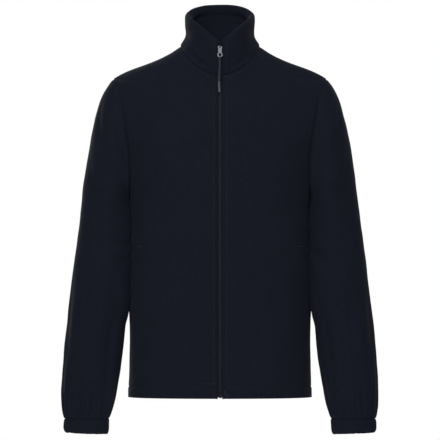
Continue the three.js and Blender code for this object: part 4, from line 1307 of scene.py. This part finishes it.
def softened(node, name, width, finish):
    """A hard piece on its solid's form, with its flat faces whole and its edges rounded."""
    work = bmesh.new()
    work.from_mesh(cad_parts[node].data)
    bmesh.ops.remove_doubles(work, verts=work.verts, dist=1e-6)
    bmesh.ops.dissolve_limit(
        work, angle_limit=math.radians(2), verts=work.verts[:], edges=work.edges[:]
    )
    mesh = bpy.data.meshes.new(name)
    work.to_mesh(mesh)
    work.free()
    piece = new_piece(name, mesh, finish)
    rounded = piece.modifiers.new("edges", "BEVEL")
    rounded.width = width
    rounded.segments = 3
    rounded.limit_method = "ANGLE"
    rounded.angle_limit = math.radians(35)
    mesh = finished(piece)
    smooth_to_edges(mesh, 40)
    piece = new_piece(name, mesh, finish)
    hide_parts(node)
    return piece


metal = metal_finish()
enamel = plastic_finish("navy_enamel", (0.0028, 0.0034, 0.006), (0.0045, 0.0052, 0.009), 0.65, 0.04)
slider = softened("zip_slider", "slider_body", 0.00025, enamel)
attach(slider, "root")
tab = softened("pull_tab", "slider_tab", 0.0003, metal)
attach(tab, "pull")
end_plastic = plastic_finish("pull_plastic", (0.032, 0.037, 0.048), (0.050, 0.056, 0.070), 0.55, 0.4)
moulded = softened("pull_end", "moulded_end", 0.0003, end_plastic)
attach(moulded, "pull")

# Room: a plain pale floor well below the jacket, and soft light from all round, strongest from
# the front, as in a product studio. The background is white.
FLOOR_LEVEL = -1.2
FLOOR_RADIUS = 3.0

work = bmesh.new()
bmesh.ops.create_circle(work, cap_ends=True, segments=96, radius=FLOOR_RADIUS)
for vert in work.verts:
    vert.co.z = FLOOR_LEVEL
floor_mesh = bpy.data.meshes.new("floor")
work.to_mesh(floor_mesh)
work.free()
pale, _, _, shader = material("pale_floor", 0.9)
shader.inputs["Base Color"].default_value = (0.86, 0.86, 0.87, 1.0)
new_piece("floor", floor_mesh, pale)

world = bpy.data.worlds.new("studio")
scene.world = world
world.use_nodes = True
nodes, links = world.node_tree.nodes, world.node_tree.links
seen = nodes.new("ShaderNodeBackground")
seen.inputs["Color"].default_value = (1.0, 1.0, 1.0, 1.0)
seen.inputs["Strength"].default_value = 1.0
sky = nodes["Background"]
sky.inputs["Color"].default_value = (0.93, 0.95, 1.0, 1.0)
sky.inputs["Strength"].default_value = 0.12
rays = nodes.new("ShaderNodeLightPath")
chosen = nodes.new("ShaderNodeMixShader")
links.new(rays.outputs["Is Camera Ray"], chosen.inputs["Fac"])
links.new(sky.outputs["Background"], chosen.inputs[1])
links.new(seen.outputs["Background"], chosen.inputs[2])
links.new(chosen.outputs["Shader"], nodes["World Output"].inputs["Surface"])

AIM = Vector((0.0, 0.0, VIEW_MIDDLE - HELD_HEIGHT))
# Each row: name, where it stands, its size and its watts
LIGHTS = [
    ("front_light", (-0.4, -3.4, 1.0), 1.8, 105.0),
    ("front_right", (2.2, -2.6, 0.3), 1.6, 5.0),
    ("front_left", (-2.2, -2.6, 0.3), 1.6, 5.0),
    ("top_light", (0.0, -0.4, 2.8), 1.8, 26.0),
    ("back_left", (-1.7, 2.9, 1.0), 1.4, 54.0),
    ("back_right", (1.7, 2.9, 0.6), 1.8, 20.0),
]
for name, place, size, watts in LIGHTS:
    light_data = bpy.data.lights.new(name, "AREA")
    light_data.shape = "SQUARE"
    light_data.size = size
    light_data.energy = watts
    light = bpy.data.objects.new(name, light_data)
    light.location = place
    light.rotation_euler = (AIM - Vector(place)).to_track_quat("-Z", "Y").to_euler()
    light.visible_camera = False
    scene.collection.objects.link(light)
scene.view_settings.view_transform = "Standard"
